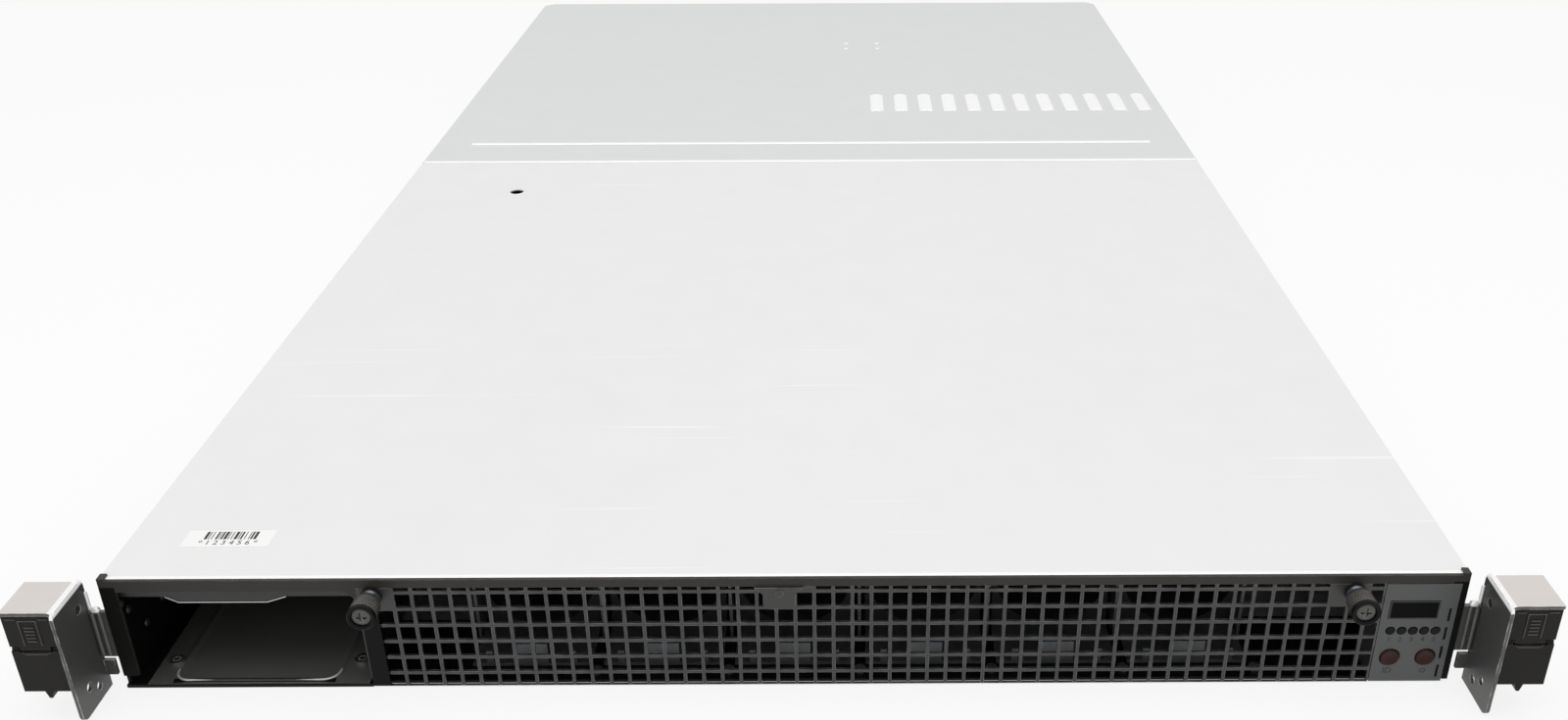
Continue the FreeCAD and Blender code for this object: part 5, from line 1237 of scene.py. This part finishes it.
def build_power_fittings(number):
    """Inlet pins, corner screws and a lamp on the rear face of one power supply."""
    low, high = BOX["psu_%s_case" % number]
    rear = BOX["psu_%s_core" % number][1][1]
    face = rear - 0.4 * MM
    middle, height = low[0] + INLET_IN * MM, (low[2] + high[2]) / 2
    skins = Skins()
    for z, shift in INLET_PINS:
        add_boxes(skins, [(middle + (shift - PIN_HALF) * MM, middle + (shift + PIN_HALF) * MM,
                           rear - PIN_ENDS[0] * MM, rear - PIN_ENDS[1] * MM,
                           height + (z - PIN_FLAT) * MM, height + (z + PIN_FLAT) * MM)], 0)
    for x, z in FACE_SCREWS:
        add_turned(skins, SCREW_HEAD, (low[0] + x * MM, face, low[2] + z * MM), "Y", 20, 1)
    add_turned(skins, LAMP_DOME, (low[0] + LAMP_AT[0] * MM, face, low[2] + LAMP_AT[1] * MM), "Y", 20, 2)
    add_skins("psu_%s_fittings" % number, skins, "psu_" + number, ["brass", "zinc", "green_lamp"])


def build_power():
    """Power supplies: dressed case and core, bladed rotor and what sits on the rear face."""
    for number in ("1", "2"):
        dress(["psu_%s_case" % number], "body")
        dress(["psu_%s_core" % number], "socket")
        build_rotor("psu_%s_rotor" % number, "psu_%s_fan" % number)
        dress(["psu_%s_latch" % number], "release")
        build_power_fittings(number)


SHELL, DARK, CONTACT, CORE, GREEN, AMBER = range(6)     # finish numbers on the rear ports


def opened_shell(skins, span, hole, deep, number=0):
    """Connector shell: four walls round an open mouth at the rear, and a block that closes it deeper in."""
    x0, x1, y0, y1, z0, z1 = span
    a0, a1, c0, c1 = hole
    add_boxes(skins, [(x0, a0, y1 - deep, y1, z0, z1), (a1, x1, y1 - deep, y1, z0, z1),
                      (a0, a1, y1 - deep, y1, z0, c0), (a0, a1, y1 - deep, y1, c1, z1),
                      (x0, x1, y0, y1 - deep, z0, z1)], number)


def network_jack(skins, x0, x1, y0, y1, z0, z1):
    """Network jack: a shell with a square mouth, a latch notch below it and eight contacts."""
    middle = (x0 + x1) / 2
    mouth = (middle - 5.9 * MM, middle + 5.9 * MM, z0 + 3.6 * MM, z1 - 1.6 * MM)
    opened_shell(skins, (x0, x1, y0, y1, z0, z1), mouth, 11 * MM)
    for i in range(8):
        x = middle + (i - 3.5) * 1.02 * MM
        add_boxes(skins, [(x - 0.22 * MM, x + 0.22 * MM, y1 - 10.5 * MM, y1 - 2.5 * MM,
                           z1 - 2.6 * MM, z1 - 2.2 * MM)], CONTACT)
    left, right, back, floor = middle - 5.8 * MM, middle + 5.8 * MM, y1 - 10.9 * MM, z0 + 3.7 * MM
    notch, step = 3.2 * MM, z0 + 5.2 * MM
    add_boxes(skins, [(left, right, back, y1 - 0.6 * MM, z1 - 2.0 * MM, z1 - 1.7 * MM),
                      (left, right, back, y1 - 10.6 * MM, floor, z1 - 2.1 * MM),
                      (left, middle - notch, back, y1 - 0.4 * MM, floor, step),
                      (middle + notch, right, back, y1 - 0.4 * MM, floor, step)], DARK)
    for way, number in ((-1, GREEN), (1, AMBER)):
        x = middle + way * 5.4 * MM
        add_boxes(skins, [(x - 1.2 * MM, x + 1.2 * MM, y1 - 0.1 * MM, y1 + 0.08 * MM,
                           z0 + 1.0 * MM, z0 + 2.6 * MM)], number)


def stacked_plugs(skins, x0, x1, y0, y1, z0, z1):
    """Two flat serial sockets, one over the other, each with its tongue and four contacts."""
    half = (z1 - z0) / 2
    for low in (z0, z0 + half):
        mouth = (x0 + 1.4 * MM, x1 - 1.4 * MM, low + 1.0 * MM, low + half - 1.0 * MM)
        opened_shell(skins, (x0, x1, y0, y1, low, low + half), mouth, 12 * MM)
        tongue = low + half / 2
        add_boxes(skins, [(x0 + 2.2 * MM, x1 - 2.2 * MM, y1 - 11.9 * MM, y1 - 1.6 * MM,
                           tongue, tongue + 1.7 * MM)], DARK)
        for i in range(4):
            x = (x0 + x1) / 2 + (i - 1.5) * 2.5 * MM
            add_boxes(skins, [(x - 0.5 * MM, x + 0.5 * MM, y1 - 9 * MM, y1 - 2.2 * MM,
                               tongue - 0.16 * MM, tongue)], CONTACT)


DISPLAY_HALF, DISPLAY_TALL, DISPLAY_POWER, DISPLAY_TAPER = 9.0 * MM, 4.6 * MM, 0.42, 0.09
DISPLAY_SHELL = ((1.0, -1.4), (1.0, 0.0), (0.93, 0.0), (0.93, -1.0))     # share of the outline, and travel in mm
DISPLAY_CORE = ((0.92, -1.3), (0.92, -0.5), (0.88, -0.4))
PIN_HOLE = np.array([(0.55, -0.5), (0.55, -0.36), (0.3, -0.34)]) * MM
HEX_POST = np.array([(2.5, -1.4), (2.5, 0.2), (2.2, 0.45), (1.1, 0.45), (1.1, -0.6)]) * MM


def display_plug(skins, x0, x1, y0, y1, z0, z1):
    """Display connector: a tapered shell with rounded corners round three rows of pins, between two hex posts."""
    x, z = (x0 + x1) / 2, (z0 + z1) / 2
    add_boxes(skins, [(x0, x1, y0, y1 - 1.2 * MM, z0, z1)])
    angle = np.linspace(0, 2 * math.pi, 56, endpoint=False)
    across = np.sign(np.cos(angle)) * np.abs(np.cos(angle)) ** DISPLAY_POWER * DISPLAY_HALF
    up = np.sign(np.sin(angle)) * np.abs(np.sin(angle)) ** DISPLAY_POWER * DISPLAY_TALL
    across = across * (1 + DISPLAY_TAPER * up / DISPLAY_TALL)

    def rings(rows):
        return np.stack([np.stack([x + share * across, np.full(len(angle), y1 + travel * MM), z + share * up], -1)
                         for share, travel in rows])

    closed_grid(skins, rings(DISPLAY_SHELL), SHELL)
    add_turned(skins, np.array([(0.1, -1.05), (0.1, -1.02)]) * MM, (x, y1, z), "Y", 8)
    closed_grid(skins, rings(DISPLAY_CORE), CORE)
    for row in (-1, 0, 1):
        for i in range(5):
            at = (x + (i - 2 + 0.25 * row) * 2.6 * MM, y1, z + row * 2.2 * MM)
            add_turned(skins, PIN_HOLE, at, "Y", 8, DARK)
    for way in (-1, 1):
        add_turned(skins, HEX_POST, (x + way * 12.6 * MM, y1, z), "Y", 6)


PORT_EDGES = (0, 16, 22, 53, 59, 92, 98, 115)          # left and right edge of each block of ports, mm


def build_ports():
    """Rear connectors in their shells: network jacks, stacked serial sockets and a display connector."""
    low, high = BOX["rear_ports"]
    depth_height = (low[1], high[1], low[2], high[2])
    skins = Skins()
    at = low[0] + np.array(PORT_EDGES) * MM
    half = (at[2] + at[3]) / 2
    stacked_plugs(skins, at[0], at[1], *depth_height)
    network_jack(skins, at[2], half, *depth_height)
    network_jack(skins, half, at[3], *depth_height)
    display_plug(skins, at[4], at[5], *depth_height)
    network_jack(skins, at[6], at[7], *depth_height)
    add_skins("port_shells", skins, "chassis",
              ["bright", "socket", "brass", "display", "green_lamp", "amber_lamp"], ("rear_ports",))


# ---------------------------------------------------------------- stage
def ray_is_seen(net):
    """1 for camera, glossy and transmission rays, 0 for the rest."""
    path = net.node("ShaderNodeLightPath")
    first = net.math("MAXIMUM", path.outputs["Is Camera Ray"], path.outputs["Is Glossy Ray"])
    return net.math("MAXIMUM", first, path.outputs["Is Transmission Ray"])


def build_world(strength):
    """Even room light; camera and mirror rays see plain white."""
    world = bpy.data.worlds.new("Room")
    bpy.context.scene.world = world
    world.use_nodes = True
    net = Net(world.node_tree)
    room = net.node("ShaderNodeBackground", {"Color": (1, 1, 1, 1), "Strength": strength})
    white = net.node("ShaderNodeBackground", {"Color": (1, 1, 1, 1), "Strength": 1.0})
    both = net.node("ShaderNodeMixShader", {0: ray_is_seen(net), 1: room.outputs[0], 2: white.outputs[0]})
    net.put(net.node("ShaderNodeOutputWorld").inputs["Surface"], both.outputs[0])


def floor_finish(colour):
    """Matt floor that is lifted to white for seen rays and still holds a soft shadow."""
    material = bpy.data.materials.new("Plain floor")
    material.use_nodes = True
    net = Net(material.node_tree)
    place = net.node("ShaderNodeTexCoord").outputs["Object"]
    tone = net.spread(net.noise(place, 3.0, 2.0), 0.0, 1.0, 0.99, 1.0)
    matt = net.node("ShaderNodeBsdfDiffuse", {"Color": net.mix(tone, (0, 0, 0, 1), (*colour, 1.0))})
    glow = net.node("ShaderNodeEmission", {"Color": (1, 1, 1, 1), "Strength": 1.0})
    share = net.math("MULTIPLY", ray_is_seen(net), 0.82)
    both = net.node("ShaderNodeMixShader", {0: share, 1: matt.outputs[0], 2: glow.outputs[0]})
    net.put(net.node("ShaderNodeOutputMaterial").inputs["Surface"], both.outputs[0])
    return material


def area_light(name, power, place, target, size):
    """Rectangular lamp at a place, turned to face its target."""
    lamp = bpy.data.lights.new(name, "AREA")
    lamp.energy = power
    lamp.shape = "RECTANGLE"
    lamp.size, lamp.size_y = size
    made = bpy.data.objects.new(name, lamp)
    made.location = place
    made.rotation_euler = (Vector(target) - Vector(place)).to_track_quat("-Z", "Y").to_euler()
    bpy.context.scene.collection.objects.link(made)
    return made


CAMERA_AT = (0.01971, -0.37292, 0.31257)                # metres, y from the front face
CAMERA_PITCH, CAMERA_YAW, CAMERA_ROLL = (math.radians(turn) for turn in (27.195, 0.155, -0.170))
FLOOR_HALF, FLOOR_GAP = 14.0, 0.0002
KEY_AT, KEY_TO, KEY_SIZE = (0.0, -0.45, 1.25), (0, -0.1, 0), (1.4, 1.0)
SIDE_AT, SIDE_TO, SIDE_SIZE = (1.3, -1.1, 0.7), (0, -0.25, 0.0), (0.8, 0.8)


def build_camera(lens):
    """Camera of one sensor width, looking down at the front from just right of the middle."""
    pitch, yaw, roll = CAMERA_PITCH, CAMERA_YAW, CAMERA_ROLL
    ahead = Vector((math.sin(yaw) * math.cos(pitch), math.cos(yaw) * math.cos(pitch), -math.sin(pitch)))
    right = Vector((math.cos(yaw), -math.sin(yaw), 0))
    up = right.cross(ahead)
    across = math.cos(roll) * right + math.sin(roll) * up
    above = -math.sin(roll) * right + math.cos(roll) * up
    camera = bpy.data.cameras.new("Camera")
    camera.lens = lens
    camera.sensor_width = 36.0
    camera.shift_x = -0.0416
    camera.clip_start, camera.clip_end = 0.01, 100.0
    made = bpy.data.objects.new("Camera", camera)
    turn = Matrix((across, above, -ahead)).transposed().to_4x4()
    made.matrix_world = Matrix.Translation((CAMERA_AT[0], FRONT_Y + CAMERA_AT[1], CAMERA_AT[2])) @ turn
    bpy.context.scene.collection.objects.link(made)
    bpy.context.scene.camera = made


def build_stage():
    """Camera, room light, plain floor and three lamps."""
    stage = bpy.context.scene.server_stage
    build_camera(stage.lens)
    build_world(stage.world)
    reach = FLOOR_HALF
    skins = Skins()
    skins.add([(-reach, -reach, 0), (reach, -reach, 0), (reach, reach, 0), (-reach, reach, 0)], [(0, 1, 2, 3)])
    mesh = skins.mesh("floor")
    mesh.materials.append(floor_finish(stage.floor))
    floor = bpy.data.objects.new("floor", mesh)
    bpy.context.scene.collection.objects.link(floor)
    mesh.transform(Matrix.Translation((0, 0, CAD_BOX[0].z - FLOOR_GAP)))
    area_light("Overhead", stage.key, KEY_AT, KEY_TO, KEY_SIZE)
    for side, sign in SIDES:
        area_light("Side " + side, stage.side, (SIDE_AT[0] * sign, *SIDE_AT[1:]), SIDE_TO, SIDE_SIZE)
    bpy.context.scene.view_settings.view_transform = "Standard"


# ---------------------------------------------------------------- operators
class SERVER_OT_stage(bpy.types.Operator):
    """Floor, room light, lamps and camera"""
    bl_idname = "server.stage"
    bl_label = "Stage"

    def execute(self, context):
        build_stage()
        return {"FINISHED"}


class SERVER_OT_covers(bpy.types.Operator):
    """Front and rear top covers"""
    bl_idname = "server.covers"
    bl_label = "Top covers"

    def execute(self, context):
        build_covers()
        return {"FINISHED"}


class SERVER_OT_chassis(bpy.types.Operator):
    """Tray, front frame, drive bay and rear panel"""
    bl_idname = "server.chassis"
    bl_label = "Chassis"

    def execute(self, context):
        build_chassis()
        return {"FINISHED"}


class SERVER_OT_grille(bpy.types.Operator):
    """Perforated front grille"""
    bl_idname = "server.grille"
    bl_label = "Grille"

    def execute(self, context):
        build_grille()
        return {"FINISHED"}


class SERVER_OT_thumbscrews(bpy.types.Operator):
    """Knurled thumbscrews and their washers"""
    bl_idname = "server.thumbscrews"
    bl_label = "Thumbscrews"

    def execute(self, context):
        build_thumbscrews()
        return {"FINISHED"}


class SERVER_OT_control_panel(bpy.types.Operator):
    """Panel moulding, lamps, buttons and badge place"""
    bl_idname = "server.control_panel"
    bl_label = "Control panel"

    def execute(self, context):
        build_control_panel()
        return {"FINISHED"}


class SERVER_OT_ears(bpy.types.Operator):
    """Ear plates with their latches"""
    bl_idname = "server.ears"
    bl_label = "Rack ears"

    def execute(self, context):
        build_ears()
        return {"FINISHED"}


class SERVER_OT_label(bpy.types.Operator):
    """Paper label with bars and numbers"""
    bl_idname = "server.label"
    bl_label = "Label"

    def execute(self, context):
        build_label()
        return {"FINISHED"}


class SERVER_OT_fans(bpy.types.Operator):
    """Fan row and its bracket"""
    bl_idname = "server.fans"
    bl_label = "Fans"

    def execute(self, context):
        build_fans()
        return {"FINISHED"}


class SERVER_OT_boards(bpy.types.Operator):
    """Main board, cards and what stands on them"""
    bl_idname = "server.boards"
    bl_label = "Boards"

    def execute(self, context):
        build_boards()
        return {"FINISHED"}


class SERVER_OT_power(bpy.types.Operator):
    """Both power supplies"""
    bl_idname = "server.power"
    bl_label = "Power supplies"

    def execute(self, context):
        build_power()
        return {"FINISHED"}


class SERVER_OT_ports(bpy.types.Operator):
    """Connectors in the rear panel"""
    bl_idname = "server.ports"
    bl_label = "Rear ports"

    def execute(self, context):
        build_ports()
        return {"FINISHED"}


OPERATORS = [SERVER_OT_stage, SERVER_OT_covers, SERVER_OT_chassis, SERVER_OT_grille, SERVER_OT_thumbscrews,
             SERVER_OT_control_panel, SERVER_OT_ears, SERVER_OT_label, SERVER_OT_fans, SERVER_OT_boards,
             SERVER_OT_power, SERVER_OT_ports]


class SERVER_PT_panel(bpy.types.Panel):
    """Sidebar list of the server's settings and pieces."""
    bl_label = "Rack Server"
    bl_idname = "SERVER_PT_panel"
    bl_space_type = "VIEW_3D"
    bl_region_type = "UI"
    bl_category = "Rack Server"

    def draw(self, context):
        for group in (context.scene.server_colours, context.scene.server_edges, context.scene.server_stage):
            for key in group.__annotations__:
                self.layout.prop(group, key)
        for operator in OPERATORS:
            self.layout.operator(operator.bl_idname)


CLASSES = [ServerColours, ServerEdges, ServerStage, *OPERATORS, SERVER_PT_panel]


def register():
    for made in CLASSES:
        bpy.utils.register_class(made)
    bpy.types.Scene.server_colours = PointerProperty(type=ServerColours)
    bpy.types.Scene.server_edges = PointerProperty(type=ServerEdges)
    bpy.types.Scene.server_stage = PointerProperty(type=ServerStage)


def unregister():
    del bpy.types.Scene.server_stage
    del bpy.types.Scene.server_edges
    del bpy.types.Scene.server_colours
    for made in reversed(CLASSES):
        bpy.utils.unregister_class(made)


def main():
    register()
    for operator in OPERATORS:
        getattr(bpy.ops.server, operator.bl_idname.split(".")[1])()


if __name__ == "__main__":
    main()
